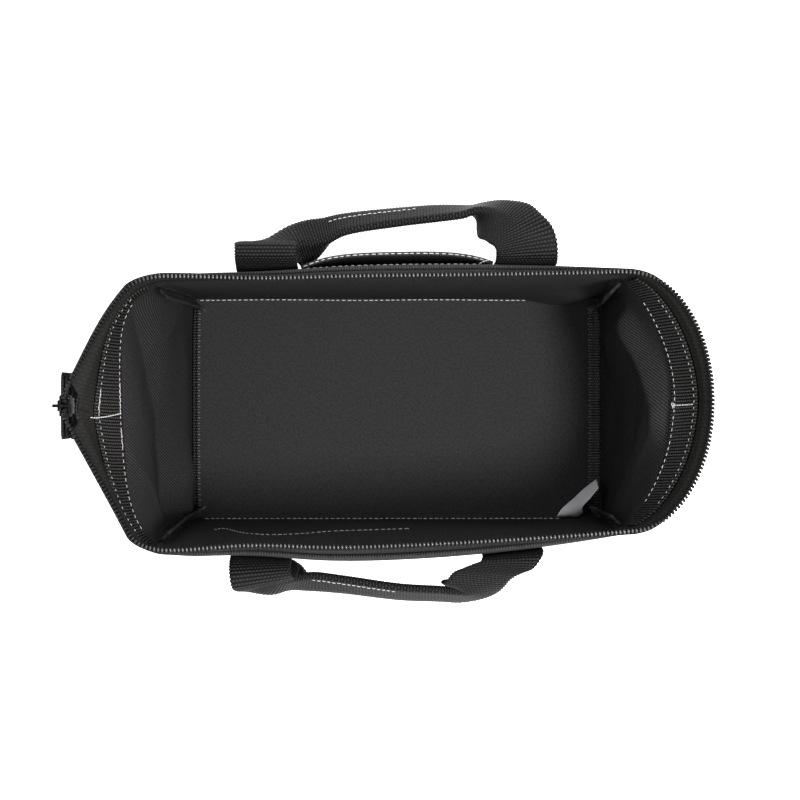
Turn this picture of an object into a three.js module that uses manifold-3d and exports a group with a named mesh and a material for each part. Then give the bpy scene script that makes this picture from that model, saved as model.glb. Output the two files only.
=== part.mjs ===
// A small canvas work bag standing open: floor, four cloth walls, a zip round the mouth, two handles.
// Millimetres, +Z up, +X toward the end where the zip stops, +Y toward the wall with the pocket.
import * as THREE from "three";
import Module from "manifold-3d";

const wasm = await Module();
wasm.setup();

// Overall sizes
const BASE_LENGTH = 304.8;
const BASE_WIDTH = 165.1;
const BASE_THICK = 3;
const BASE_CORNER = 8;
const RIM_HEIGHT = 203;
const END_DROP = 5; // the mouth sits this much lower in the middle of each end
const GAP = 0.3; // clearance between neighbouring pieces
const CANVAS = 2;
const WALL_FOOT = BASE_THICK + GAP;
const SEAM_LAP = 0.06; // how far a long wall turns the corner, as a share of an end

// Zip
const COIL_RADIUS = 1.8;
const TAPE = 1;
const TAPE_FOOT = 0.912; // the tape's lower edge, as a share of the rim height
const TAPE_HANG = 2.5; // how far the loose lower edge hangs off the long walls
const WALL_TOP = 0.955; // the walls' top hem, as a share of the rim height
const APEX_SHIFT = 4.5; // the zip's closed end lies this far toward the far wall

// Webbing
const STRAP_WIDTH = 38.1;
const STRAP = 2;
const HANDLE_STEPS = 2;
const STRAP_CREASE = 1.35; // from the crest to each half where the strap is doubled over
const LEG_SHARES = [0.055, 0.18, 0.3, 0.42, 0.54, 0.66, 0.76, 0.84];
const BAND = 1.8;
const BAND_FOOT = 0.8;
const BAND_TOP = 0.903;
const BINDING_WIDTH = 9;
const BINDING = 2.2;

// Pocket
const POCKET_HALF = 60;
const POCKET_FOOT = 0.06;
const POCKET_TOP = 0.87;
const POCKET_GAPE = 6.2;
const POCKET_CLOTH = 1.6;

// Slider, drawn with its chain running down and its outer face to the left
const SLIDER = {
  x: -204.6, y: 2.8, top: 196.4, height: 14.5, mouthWidth: 13, tailWidth: 9.6,
  plate: 1.2, channel: 4.2, flange: 1.1, neckWidth: 1.6, neckHeight: 5,
};
const BRIDGE = { height: 8, stand: 5, bar: 1.4, width: 2, lift: 6.4 };
const PULL = { length: 24, width: 7, thick: 1.6, eye: 6.9, eyeWidth: 3, bar: 0.7, lean: 12 };
const TAIL = { width: 38, thick: 1.4, chainWidth: 7.2, chainThick: 3.8, length: 20 };
const TAB = { width: 41.4, height: 27, thick: 1.6, x: -206.2 };

// The cloth by height, as a share of the rim height. The four corner columns are how far each corner seam
// stands from the middle of the bag, halfLength where the ends begin, the bulges how far each long wall
// swells out between its corners, the reaches how far each end stands out, the squares how boxy they are
// and vee how pointed the left one is.
const SECTIONS = [
  { share: 0, farLeft: 81.5, farRight: 81.5, nearRight: 81.5, nearLeft: 81.5, halfLength: 143,
    farBulge: 0, nearBulge: 0, rightReach: 8.4, leftReach: 8.4,
    rightSquare: 6, leftSquare: 6, vee: 0 },
  { share: 0.25, farLeft: 81.3, farRight: 81.8, nearRight: 80.8, nearLeft: 82, halfLength: 143.4,
    farBulge: 0.4, nearBulge: 0.6, rightReach: 10.5, leftReach: 10,
    rightSquare: 4.4, leftSquare: 5, vee: 0 },
  { share: 0.5, farLeft: 81, farRight: 82.6, nearRight: 79.6, nearLeft: 84, halfLength: 143.4,
    farBulge: 1.8, nearBulge: 3, rightReach: 17, leftReach: 16,
    rightSquare: 2.4, leftSquare: 3.8, vee: 0 },
  { share: 0.75, farLeft: 81.4, farRight: 85, nearRight: 78, nearLeft: 87.4, halfLength: 142.4,
    farBulge: 4.4, nearBulge: 7.6, rightReach: 33, leftReach: 29.5,
    rightSquare: 1.5, leftSquare: 3, vee: 0 },
  { share: 0.9, farLeft: 82.4, farRight: 87, nearRight: 76.4, nearLeft: 89, halfLength: 141.4,
    farBulge: 5, nearBulge: 9.6, rightReach: 49, leftReach: 50,
    rightSquare: 1.75, leftSquare: 2.4, vee: 0.35 },
  { share: 0.955, farLeft: 82.8, farRight: 86.6, nearRight: 75.2, nearLeft: 88, halfLength: 141,
    farBulge: 3.2, nearBulge: 7.8, rightReach: 51.6, leftReach: 59.5,
    rightSquare: 1.9, leftSquare: 2.2, vee: 0.8 },
  { share: 1, farLeft: 82.2, farRight: 84.8, nearRight: 74, nearLeft: 85.6, halfLength: 140.5,
    farBulge: -0.8, nearBulge: 3, rightReach: 53, leftReach: 68.5,
    rightSquare: 2, leftSquare: 2, vee: 1 },
];

// Creases in the walls. Each runs from one place to another, given by the share of the wall's half span
// and of the rim height, and pushes the cloth out (or in, when negative) by depth over about width.
const LONG_HALF = 145;
const END_HALF = 85;
const FAR = 0;
const RIGHT = 1;
const NEAR = 2;
const LEFT = 3;
const FOLDS = [
  { side: NEAR, along: 0.64, share: 0.72, alongEnd: 0.64, shareEnd: 1.1, depth: -2.8, width: 38 },
  { side: NEAR, along: 0.92, share: 0.6, alongEnd: 0.92, shareEnd: 0.84, depth: 2, width: 13 },
  { side: NEAR, along: 0.2, share: 0.3, alongEnd: -0.5, shareEnd: 0.5, depth: -2, width: 34 },
  { side: FAR, along: 0.82, share: 0.07, alongEnd: 0.92, shareEnd: 0.3, depth: -7.5, width: 24 },
  { side: FAR, along: -0.58, share: 0.8, alongEnd: -0.58, shareEnd: 1.1, depth: -1.2, width: 40 },
  { side: LEFT, along: 0.62, share: 0.72, alongEnd: 0.2, shareEnd: 0.57, depth: 5, width: 20 },
  { side: LEFT, along: -0.2, share: 0.46, alongEnd: -0.6, shareEnd: 0.44, depth: 5, width: 20 },
  { side: LEFT, along: 0.2, share: 0.2, alongEnd: -0.1, shareEnd: 0.2, depth: -3, width: 22 },
  { side: LEFT, along: -0.42, share: 0.22, alongEnd: -0.62, shareEnd: 0.22, depth: -7, width: 18 },
  { side: LEFT, along: 0.45, share: 0.84, alongEnd: 0.45, shareEnd: 1.1, depth: 3.6, width: 26 },
  { side: RIGHT, along: -0.45, share: 0.6, alongEnd: 0.03, shareEnd: 0.74, depth: -6.5, width: 13 },
  { side: RIGHT, along: -0.42, share: 0.2, alongEnd: -0.42, shareEnd: 0.6, depth: -5, width: 16 },
  { side: RIGHT, along: 0.1, share: 0.62, alongEnd: 0.62, shareEnd: 0.4, depth: -5, width: 16 },
  { side: RIGHT, along: 0.05, share: 0.2, alongEnd: 0, shareEnd: 0.5, depth: 5, width: 24 },
];

// The handles from the left leg to the right one, by the loose stretch between the two legs. Each row gives
// a point on the strap's middle line, out being its distance from the middle of the bag, and the way that
// each half of the strap points from there: turn is the direction in plan, from +X round to outward, and dip
// the angle below level. Where the strap is doubled over into the grip, both halves point nearly alike.
const HANDLE_FAR = {
  wall: FAR, sign: 1, left: -81.5, right: 80.5,
  loose: [
    { x: -81.5, out: 92, z: 184, lessTurn: 180, lessDip: 0, moreTurn: 0, moreDip: 0 },
    { x: -81.5, out: 97, z: 190, lessTurn: 180, lessDip: 0, moreTurn: 0, moreDip: 0 },
    { x: -81.5, out: 101.8, z: 189.4, lessTurn: 180, lessDip: 0, moreTurn: 0, moreDip: 0 },
    { x: -81.5, out: 104.3, z: 183, lessTurn: 180, lessDip: 2, moreTurn: 0, moreDip: 2 },
    { x: -79.5, out: 103.6, z: 175, lessTurn: 172, lessDip: 28, moreTurn: -18, moreDip: 10 },
    { x: -71, out: 104.2, z: 171.5, lessTurn: 160, lessDip: 45, moreTurn: -50, moreDip: 25 },
    { x: -61.4, out: 105, z: 171, lessTurn: 117, lessDip: 42, moreTurn: -74, moreDip: 47 },
    { x: -51.8, out: 105.5, z: 170.5, lessTurn: 110, lessDip: 32, moreTurn: -80, moreDip: 69 },
    { x: -43.6, out: 107, z: 171, lessTurn: 104, lessDip: 36, moreTurn: -84, moreDip: 95 },
    { x: -34, out: 111, z: 173, lessTurn: 97, lessDip: 45, moreTurn: -88, moreDip: 124 },
    { x: 2, out: 117.4, z: 173, lessTurn: 90, lessDip: 55, moreTurn: -90, moreDip: 114 },
    { x: 27, out: 120.4, z: 174, lessTurn: 90, lessDip: 60, moreTurn: -90, moreDip: 109 },
    { x: 42, out: 122.6, z: 174.4, lessTurn: 90, lessDip: 68, moreTurn: -90, moreDip: 101 },
    { x: 48.2, out: 125, z: 175, lessTurn: 88, lessDip: 76, moreTurn: -92, moreDip: 93 },
    { x: 52, out: 125.4, z: 176.5, lessTurn: 73, lessDip: 72, moreTurn: -102, moreDip: 78 },
    { x: 57.7, out: 124.6, z: 179, lessTurn: 57, lessDip: 60, moreTurn: -122, moreDip: 48 },
    { x: 64.2, out: 121.4, z: 182, lessTurn: 48, lessDip: 42, moreTurn: -132, moreDip: 14 },
    { x: 69.4, out: 118, z: 185, lessTurn: 39, lessDip: 24, moreTurn: -141, moreDip: 3 },
    { x: 73.6, out: 112.9, z: 190, lessTurn: 29, lessDip: 14, moreTurn: -151, moreDip: 5 },
    { x: 78, out: 107.6, z: 191.6, lessTurn: 19, lessDip: 4, moreTurn: -161, moreDip: 3 },
    { x: 80, out: 102, z: 191.4, lessTurn: 10, lessDip: 0, moreTurn: -170, moreDip: 0 },
    { x: 80.5, out: 96.8, z: 189.6, lessTurn: 2, lessDip: 0, moreTurn: -178, moreDip: 0 },
    { x: 80.5, out: 92.6, z: 184, lessTurn: 0, lessDip: 0, moreTurn: -180, moreDip: 0 },
  ],
};
const HANDLE_NEAR = {
  wall: NEAR, sign: -1, left: -85.5, right: 72.5,
  loose: [
    { x: -85.5, out: 95.5, z: 183, lessTurn: 180, lessDip: 0, moreTurn: 0, moreDip: 0 },
    { x: -85, out: 101, z: 188.5, lessTurn: 175, lessDip: 0, moreTurn: -5, moreDip: 0 },
    { x: -84, out: 106, z: 187.6, lessTurn: 170, lessDip: 0, moreTurn: -10, moreDip: 0 },
    { x: -82.5, out: 108.6, z: 182, lessTurn: 168, lessDip: 4, moreTurn: -12, moreDip: 4 },
    { x: -80, out: 107.5, z: 174.5, lessTurn: 155, lessDip: 25, moreTurn: -20, moreDip: 10 },
    { x: -72, out: 106.5, z: 171.5, lessTurn: 126, lessDip: 45, moreTurn: -66, moreDip: 54 },
    { x: -63, out: 105.3, z: 171.5, lessTurn: 120, lessDip: 56, moreTurn: -79, moreDip: 75 },
    { x: -53, out: 103.4, z: 172.5, lessTurn: 98, lessDip: 53, moreTurn: -85, moreDip: 116 },
    { x: -36, out: 105.4, z: 173, lessTurn: 90, lessDip: 56, moreTurn: -90, moreDip: 113 },
    { x: 2, out: 110.9, z: 173, lessTurn: 90, lessDip: 60, moreTurn: -90, moreDip: 109 },
    { x: 28, out: 112.4, z: 174, lessTurn: 88, lessDip: 62, moreTurn: -91, moreDip: 106 },
    { x: 37, out: 113.4, z: 175, lessTurn: 72, lessDip: 62, moreTurn: -108, moreDip: 80 },
    { x: 43, out: 114.4, z: 177, lessTurn: 33, lessDip: 56, moreTurn: -155, moreDip: 38 },
    { x: 46.6, out: 112.6, z: 181, lessTurn: 9, lessDip: 32, moreTurn: -166, moreDip: 2 },
    { x: 48.8, out: 108.7, z: 184.6, lessTurn: 4, lessDip: 15, moreTurn: -176, moreDip: -4 },
    { x: 50.9, out: 104.9, z: 187.6, lessTurn: 3, lessDip: 8, moreTurn: -177, moreDip: -2 },
    { x: 53.9, out: 101.6, z: 189.6, lessTurn: 4, lessDip: 2, moreTurn: -176, moreDip: 0 },
    { x: 58.7, out: 99.3, z: 190.6, lessTurn: 4, lessDip: 0, moreTurn: -176, moreDip: 0 },
    { x: 65.2, out: 96.6, z: 191, lessTurn: 4, lessDip: 0, moreTurn: -176, moreDip: 0 },
    { x: 70.5, out: 92.6, z: 189, lessTurn: -4, lessDip: 0, moreTurn: -184, moreDip: 0 },
    { x: 72, out: 90.4, z: 184, lessTurn: -6, lessDip: 0, moreTurn: -186, moreDip: 0 },
  ],
};

// The label from the seam to its free end
const LABEL_WIDTH = 17;
const LABEL = 0.8;
const LABEL_ROWS = [
  { x: 124.5, y: -79.2, z: 4.2, turn: 0, tilt: 0 },
  { x: 125, y: -77.4, z: 13, turn: 8, tilt: 10 },
  { x: 129, y: -71, z: 22, turn: 46, tilt: 16 },
  { x: 136, y: -62, z: 28, turn: 72, tilt: 8 },
  { x: 143.5, y: -53, z: 31, turn: 88, tilt: 0 },
];

const COLUMNS = Object.keys(SECTIONS[0]).slice(1);
const sectionCurve = new THREE.CubicInterpolant(
  SECTIONS.map((row) => row.share),
  SECTIONS.flatMap((row) => COLUMNS.map((name) => row[name])),
  COLUMNS.length,
);

function sectionAt(share) {
  const values = sectionCurve.evaluate(THREE.MathUtils.clamp(share, 0, 1));
  return Object.fromEntries(COLUMNS.map((name, i) => [name, values[i]]));
}

// How far the creases push a wall out at one place
function foldDepth(side, along, share) {
  const half = side % 2 === 0 ? LONG_HALF : END_HALF;
  const place = new THREE.Vector3(along * half, share * RIM_HEIGHT, 0);
  const nearest = new THREE.Vector3();
  let depth = 0;
  for (const fold of FOLDS.filter((row) => row.side === side)) {
    const start = new THREE.Vector3(fold.along * half, fold.share * RIM_HEIGHT, 0);
    const end = new THREE.Vector3(fold.alongEnd * half, fold.shareEnd * RIM_HEIGHT, 0);
    new THREE.Line3(start, end).closestPointToPoint(place, true, nearest);
    depth += fold.depth * Math.exp(-((nearest.distanceTo(place) / fold.width) ** 2));
  }
  const seams = 1 - along ** 8;
  const foot = THREE.MathUtils.smoothstep(share, 0, 0.12);
  return depth * seams * foot;
}

function boxyEnd(across, square) {
  return (1 - Math.abs(across) ** square) ** (1 / square);
}

// The pointed left end: straight arms that turn into the long walls over the last tenth
function pointedEnd(across) {
  const run = Math.hypot(Math.abs(across), 0.05);
  const corner = Math.max(0, (Math.abs(across) - 0.9) / 0.1);
  return (1 - 0.73 * run) * Math.sqrt(Math.max(0, 1 - corner ** 2));
}

// The middle of the cloth. lap counts the four walls in turn: far, right end, near, left end.
function cloth(lap, share) {
  const turned = ((lap % 4) + 4) % 4;
  const side = Math.floor(turned);
  const part = turned - side;
  const along = 2 * part - 1;
  const row = sectionAt(share);
  const push = foldDepth(side, along, share);
  const swell = 1 - along ** 2;
  const across = Math.sin((along * Math.PI) / 2);
  const drop = side % 2 === 0 ? 0 : END_DROP * (1 - across ** 2);
  const z = WALL_FOOT + share * (RIM_HEIGHT - WALL_FOOT - drop);
  if (side === FAR) {
    const y = THREE.MathUtils.lerp(row.farLeft, row.farRight, part);
    return new THREE.Vector3(along * row.halfLength, y + row.farBulge * swell + push, z);
  }
  if (side === NEAR) {
    const y = THREE.MathUtils.lerp(row.nearRight, row.nearLeft, part);
    return new THREE.Vector3(-along * row.halfLength, -y - row.nearBulge * swell - push, z);
  }
  if (side === RIGHT) {
    const y = THREE.MathUtils.lerp(row.farRight, -row.nearRight, (1 + across) / 2);
    const reach = row.rightReach * boxyEnd(across, row.rightSquare);
    return new THREE.Vector3(row.halfLength + reach + push, y, z);
  }
  const apex = APEX_SHIFT * row.vee * swell ** 2;
  const y = THREE.MathUtils.lerp(-row.nearLeft, row.farLeft, (1 + across) / 2) + apex;
  const shape = THREE.MathUtils.lerp(boxyEnd(across, row.leftSquare), pointedEnd(across), row.vee);
  return new THREE.Vector3(-row.halfLength - row.leftReach * shape - push, y, z);
}

// The outward direction, shared by the two walls at a corner so that their edges meet in a mitre
function outward(lap, share) {
  const step = 0.012;
  const here = cloth(lap, share);
  const ahead = cloth(lap + step, share).sub(here).normalize();
  const behind = here.clone().sub(cloth(lap - step, share)).normalize();
  const up = cloth(lap, Math.min(1, share + 0.02)).sub(cloth(lap, Math.max(0, share - 0.02)));
  return up.cross(ahead.add(behind)).normalize();
}

function onCloth(lap, share, out) {
  return cloth(lap, share).addScaledVector(outward(lap, share), out);
}

function geometryOf(points, faces) {
  const geometry = new THREE.BufferGeometry();
  geometry.setAttribute("position", new THREE.Float32BufferAttribute(points.flatMap((p) => p.toArray()), 3));
  geometry.setIndex(faces);
  geometry.computeVertexNormals();
  return geometry;
}

// A closed sheet over a grid: middle(u, v) and direction(u, v) at each crossing of the two lists
function sheet(us, vs, thick, middle, direction) {
  const points = [];
  for (const offset of [thick / 2, -thick / 2]) {
    for (const u of us) {
      for (const v of vs) {
        points.push(middle(u, v).addScaledVector(direction(u, v), offset));
      }
    }
  }
  const layer = us.length * vs.length;
  const at = (i, j, side) => side * layer + i * vs.length + j;
  const faces = [];
  const quad = (a, b, c, d) => faces.push(a, b, c, a, c, d);
  for (let i = 0; i + 1 < us.length; i += 1) {
    for (let j = 0; j + 1 < vs.length; j += 1) {
      quad(at(i, j, 0), at(i, j + 1, 0), at(i + 1, j + 1, 0), at(i + 1, j, 0));
      quad(at(i, j, 1), at(i + 1, j, 1), at(i + 1, j + 1, 1), at(i, j + 1, 1));
    }
  }
  const lastU = us.length - 1;
  const lastV = vs.length - 1;
  for (let i = 0; i < lastU; i += 1) {
    quad(at(i, 0, 0), at(i + 1, 0, 0), at(i + 1, 0, 1), at(i, 0, 1));
    quad(at(i, lastV, 0), at(i, lastV, 1), at(i + 1, lastV, 1), at(i + 1, lastV, 0));
  }
  for (let j = 0; j < lastV; j += 1) {
    quad(at(0, j, 0), at(0, j, 1), at(0, j + 1, 1), at(0, j + 1, 0));
    quad(at(lastU, j, 0), at(lastU, j + 1, 0), at(lastU, j + 1, 1), at(lastU, j, 1));
  }
  return geometryOf(points, faces);
}

// A flat strip swept along rows that give its middle, the direction across it, its width and its thickness
function strip(rows) {
  const points = [];
  const faces = [];
  rows.forEach((row, i) => {
    const ahead = rows[Math.min(i + 1, rows.length - 1)].middle;
    const heading = ahead.clone().sub(rows[Math.max(i - 1, 0)].middle).normalize();
    const across = row.across.clone().projectOnPlane(heading).normalize();
    const face = heading.clone().cross(across).normalize();
    for (const [a, b] of [[1, 1], [-1, 1], [-1, -1], [1, -1]]) {
      const corner = row.middle.clone().addScaledVector(across, (a * row.width) / 2);
      points.push(corner.addScaledVector(face, (b * row.thick) / 2));
    }
  });
  const quad = (a, b, c, d) => faces.push(a, b, c, a, c, d);
  for (let i = 0; i + 1 < rows.length; i += 1) {
    for (let k = 0; k < 4; k += 1) {
      const next = (k + 1) % 4;
      quad(i * 4 + k, i * 4 + next, i * 4 + 4 + next, i * 4 + 4 + k);
    }
  }
  const last = (rows.length - 1) * 4;
  quad(0, 3, 2, 1);
  quad(last, last + 1, last + 2, last + 3);
  return geometryOf(points, faces);
}

// Rows of a strip eased through a few stations, steps of them between each two
function eased(stations, steps, width, thick) {
  const curve = new THREE.CatmullRomCurve3(stations.map((row) => row.middle));
  const rows = [];
  const count = (stations.length - 1) * steps;
  for (let i = 0; i <= count; i += 1) {
    const index = Math.min(Math.floor(i / steps), stations.length - 2);
    const mix = i / steps - index;
    rows.push({
      middle: curve.getPoint(i / count),
      across: stations[index].across.clone().lerp(stations[index + 1].across, mix),
      width,
      thick,
    });
  }
  return rows;
}

// Across the strap: along the wall at first, then swung round by turn to a direction leaning back by tilt
function acrossOf(turn, tilt, sign) {
  const swing = THREE.MathUtils.degToRad(turn);
  const lean = THREE.MathUtils.degToRad(tilt);
  const raised = new THREE.Vector3(0, -sign * Math.sin(lean), Math.cos(lean));
  return new THREE.Vector3(Math.cos(swing), 0, 0).addScaledVector(raised, Math.sin(swing));
}

function listed(from, to, steps) {
  return Array.from({ length: steps + 1 }, (_, i) => THREE.MathUtils.lerp(from, to, i / steps));
}

const group = new THREE.Group();
const CLOTH_BLACK = { color: 0x201f20, roughness: 0.85, metalness: 0 };
const WEBBING_BLACK = { color: 0x191819, roughness: 0.75, metalness: 0 };
const ZIP_BLACK = { color: 0x1c1b1c, roughness: 0.6, metalness: 0 };

function add(name, geometry, look) {
  const mesh = new THREE.Mesh(geometry, new THREE.MeshStandardMaterial(look));
  mesh.name = name;
  group.add(mesh);
  return mesh;
}

function manifoldOf(geometry) {
  const plain = geometry.index ? geometry.toNonIndexed() : geometry;
  const mesh = new wasm.Mesh({
    numProp: 3,
    vertProperties: new Float32Array(plain.attributes.position.array),
    triVerts: Uint32Array.from({ length: plain.attributes.position.count }, (_, i) => i),
  });
  mesh.merge();
  return new wasm.Manifold(mesh);
}

function joined(geometries) {
  const mesh = wasm.Manifold.union(geometries.map(manifoldOf)).getMesh();
  const geometry = new THREE.BufferGeometry();
  geometry.setAttribute("position", new THREE.BufferAttribute(new Float32Array(mesh.vertProperties), 3));
  geometry.setIndex(new THREE.BufferAttribute(new Uint32Array(mesh.triVerts), 1));
  return geometry;
}

function roundedRectangle(width, height, radius) {
  const shape = new THREE.Shape();
  const w = width / 2 - radius;
  const h = height / 2 - radius;
  shape.absarc(w, h, radius, 0, Math.PI / 2);
  shape.absarc(-w, h, radius, Math.PI / 2, Math.PI);
  shape.absarc(-w, -h, radius, Math.PI, Math.PI * 1.5);
  shape.absarc(w, -h, radius, Math.PI * 1.5, Math.PI * 2);
  return shape;
}

function extruded(shape, depth, curveSegments = 4) {
  return new THREE.ExtrudeGeometry(shape, { depth, bevelEnabled: false, curveSegments });
}

// Floor
add("base_panel", extruded(roundedRectangle(BASE_LENGTH, BASE_WIDTH, BASE_CORNER), BASE_THICK), CLOTH_BLACK);

// Walls: each long one turns both corners and butts against the ends
function wall(name, start, end, corner) {
  const slack = 0.0012;
  const turns = corner ? [-SEAM_LAP + slack, -0.03, 0] : [];
  const straight = listed(start, end, corner ? 14 : 20);
  const laps = corner
    ? [...turns.map((t) => start + t), ...straight.slice(1, -1), ...turns.map((t) => end - t).reverse()]
    : straight;
  const shares = [0, 0.08, 0.18, 0.3, 0.42, 0.54, 0.66, 0.76, 0.84, 0.9, WALL_TOP];
  add(name, sheet(laps, shares, CANVAS, cloth, outward), CLOTH_BLACK);
}
wall("side_panel_far", 0, 1, true);
wall("side_panel_near", 2, 3, true);
wall("end_panel_right", 1 + SEAM_LAP + 0.0012, 2 - SEAM_LAP - 0.0012, false);
wall("end_panel_left", 3 + SEAM_LAP + 0.0012, 4 - SEAM_LAP - 0.0012, false);

// Bound seams: down one corner, across the floor and up the other, standing in from the seam. slope is how
// steeply the binding stands up from the floor, and wide its width there.
function binding(name, first, last, slope, wide) {
  const rows = [];
  const station = (lap, share, rise) => {
    const place = cloth(lap, share);
    const corner = new THREE.Vector3(-Math.sign(place.x), -Math.sign(place.y), 0);
    const inward = (rise > 0 ? outward(lap, share).multiplyScalar(-1) : corner).setZ(0).normalize();
    const across = inward.clone().multiplyScalar(Math.cos(rise)).setZ(Math.sin(rise));
    const root = place.addScaledVector(inward, CANVAS / 2 + (rise > 0 ? 1.25 : 2.8));
    const width = rise > 0 ? wide : BINDING_WIDTH;
    const middle = root.addScaledVector(across, width / 2);
    return { middle, across, width, thick: BINDING };
  };
  const heights = [0.775, 0.66, 0.54, 0.42, 0.3, 0.18, 0.09, 0.045];
  const from = first + SEAM_LAP;
  const to = last - SEAM_LAP;
  heights.forEach((share) => rows.push(station(from, share, 0)));
  listed(from + 0.06, to - 0.06, 10).forEach((lap) => rows.push(station(lap, 0.012, slope)));
  heights.reverse().forEach((share) => rows.push(station(to, share, 0)));
  add(name, strip(rows), WEBBING_BLACK);
}
binding("seam_binding_right", 1, 2, 0.3, 11.5);
binding("seam_binding_left", 3, 4, 0.95, BINDING_WIDTH);

// Webbing round the inside of each end
function band(name, first, last) {
  const inside = -(CANVAS / 2 + GAP + BAND / 2 + 0.7);
  const laps = listed(first + SEAM_LAP + 0.02, last - SEAM_LAP - 0.02, 20);
  const middle = (lap, share) => onCloth(lap, share, inside);
  add(name, sheet(laps, [BAND_FOOT, 0.852, BAND_TOP], BAND, middle, outward), WEBBING_BLACK);
}
band("end_band_right", 1, 2);
band("end_band_left", 3, 4);

// Zip tape: hangs inside the walls' top hem, its loose edge off the long walls, cut away behind the slider
const APEX_LAP = 3.5;
function tape(name, laps) {
  const topShare = 1 - (COIL_RADIUS + GAP) / RIM_HEIGHT;
  const middle = (lap, step) => {
    const turned = ((lap % 4) + 4) % 4;
    const long = Math.floor(turned) % 2 === 0 ? Math.sin((turned % 1) * Math.PI) : 0;
    const toApex = Math.abs(turned - APEX_LAP);
    const trim = THREE.MathUtils.smoothstep(toApex, 0.02, 0.07);
    const top = THREE.MathUtils.lerp(0.945, topShare, trim);
    const share = THREE.MathUtils.lerp(TAPE_FOOT, top, step);
    const inside = CANVAS / 2 + GAP + TAPE / 2 + 0.5;
    const under = 1 - THREE.MathUtils.smoothstep(share, 0.952, 0.982);
    const loose = 1 - THREE.MathUtils.smoothstep(share, TAPE_FOOT, 0.955);
    return onCloth(lap, share, -inside * under - TAPE_HANG * loose * long);
  };
  const facing = (lap, step) => {
    const up = middle(lap, Math.min(1, step + 0.1)).sub(middle(lap, Math.max(0, step - 0.1)));
    const ahead = middle(lap + 0.004, step).sub(middle(lap - 0.004, step));
    return up.cross(ahead).normalize();
  };
  add(name, sheet(laps, [0, 0.5, 0.75, 1], TAPE, middle, facing), ZIP_BLACK);
}
const farLeftLaps = [...listed(-0.499, -0.44, 2), ...listed(-0.4, 0, 8)];
const nearLeftLaps = [...listed(3, 3.4, 8), ...listed(3.44, 3.499, 2)];
tape("zip_tape_far", [...farLeftLaps, ...listed(0.08, 0.92, 9), ...listed(1, 1.4992, 9)]);
tape("zip_tape_near", [...listed(1.5008, 2, 9), ...listed(2.08, 2.92, 9), ...nearLeftLaps]);

// Coil: a round cord on the rim that dives into the slider's mouth
function coil(name, laps, sign) {
  const points = laps.map((lap) => cloth(lap, 1));
  const x = SLIDER.x;
  const mouth = SLIDER.top;
  const lane = SLIDER.neckWidth / 2 + COIL_RADIUS + 0.35;
  points.unshift(
    new THREE.Vector3(x, SLIDER.y + sign * lane, mouth - 4.6),
    new THREE.Vector3(x, SLIDER.y + sign * lane, mouth - 1.8),
    new THREE.Vector3(x - 0.1, SLIDER.y + sign * (lane + 2.2), mouth + 1.9),
  );
  const path = new THREE.CatmullRomCurve3(points);
  const ring = new THREE.Shape();
  ring.absarc(0, 0, COIL_RADIUS, 0, Math.PI * 2);
  const settings = { steps: 76, extrudePath: path, curveSegments: 4, bevelEnabled: false };
  add(name, new THREE.ExtrudeGeometry(ring, settings), ZIP_BLACK);
}
coil("zip_coil_far", [...listed(-0.43, 1, 22), ...listed(1.06, 1.4992, 8)], 1);
coil("zip_coil_near", [...listed(3.43, 2, 22), ...listed(1.94, 1.5008, 8)], -1);

// Slider: two plates joined by a neck at the mouth, lips along both sides, a bridge on the outer face
const sliderFrame = new THREE.Matrix4().makeBasis(
  new THREE.Vector3(0, 1, 0), new THREE.Vector3(0, 0, 1), new THREE.Vector3(1, 0, 0));
function placed(geometry, x, y, z) {
  geometry.translate(x, y, z);
  return geometry.applyMatrix4(sliderFrame);
}
function sliderPlate(inset) {
  const half = SLIDER.mouthWidth / 2 - inset;
  const tail = SLIDER.tailWidth / 2 - inset;
  const shape = new THREE.Shape();
  shape.moveTo(-tail, -SLIDER.height);
  shape.lineTo(tail, -SLIDER.height);
  shape.lineTo(tail, -SLIDER.height * 0.62);
  shape.lineTo(half, -SLIDER.height * 0.3);
  shape.absarc(half - 1.5, -1.5, 1.5, 0, Math.PI / 2);
  shape.absarc(-half + 1.5, -1.5, 1.5, Math.PI / 2, Math.PI);
  shape.lineTo(-half, -SLIDER.height * 0.3);
  shape.lineTo(-tail, -SLIDER.height * 0.62);
  return shape;
}
const reach = SLIDER.channel / 2;
function sliderLip(side, start, depth) {
  const half = SLIDER.mouthWidth / 2;
  const tail = SLIDER.tailWidth / 2;
  const edge = [
    [tail, -SLIDER.height + 1], [tail, -SLIDER.height * 0.62], [half, -SLIDER.height * 0.3], [half, -2.5],
  ];
  const outer = edge.map(([x, y]) => new THREE.Vector2(side * x, y));
  const inner = edge.map(([x, y]) => new THREE.Vector2(side * (x - SLIDER.flange), y));
  const shape = new THREE.Shape([...outer, ...inner.reverse()]);
  return placed(extruded(shape, depth), SLIDER.y, SLIDER.top, SLIDER.x + start);
}
const lipDepth = (SLIDER.channel - 1.8) / 2;
const lips = [-1, 1].flatMap((side) => [
  sliderLip(side, -reach - 0.2, lipDepth + 0.2),
  sliderLip(side, reach - lipDepth, lipDepth + 0.2),
]);
const bridgeShape = new THREE.Shape();
bridgeShape.moveTo(0.3, -BRIDGE.height / 2);
bridgeShape.lineTo(-BRIDGE.stand + 1, -BRIDGE.height / 2);
bridgeShape.absarc(-BRIDGE.stand + 1, -BRIDGE.height / 2 + 1, 1, -Math.PI / 2, -Math.PI, true);
bridgeShape.absarc(-BRIDGE.stand + 1, BRIDGE.height / 2 - 1, 1, Math.PI, Math.PI / 2, true);
bridgeShape.lineTo(0.3, BRIDGE.height / 2);
const windowHalf = BRIDGE.height / 2 - BRIDGE.bar;
const bridgeWindow = new THREE.Path();
bridgeWindow.moveTo(0, windowHalf);
bridgeWindow.lineTo(-BRIDGE.stand + BRIDGE.bar, windowHalf);
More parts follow.
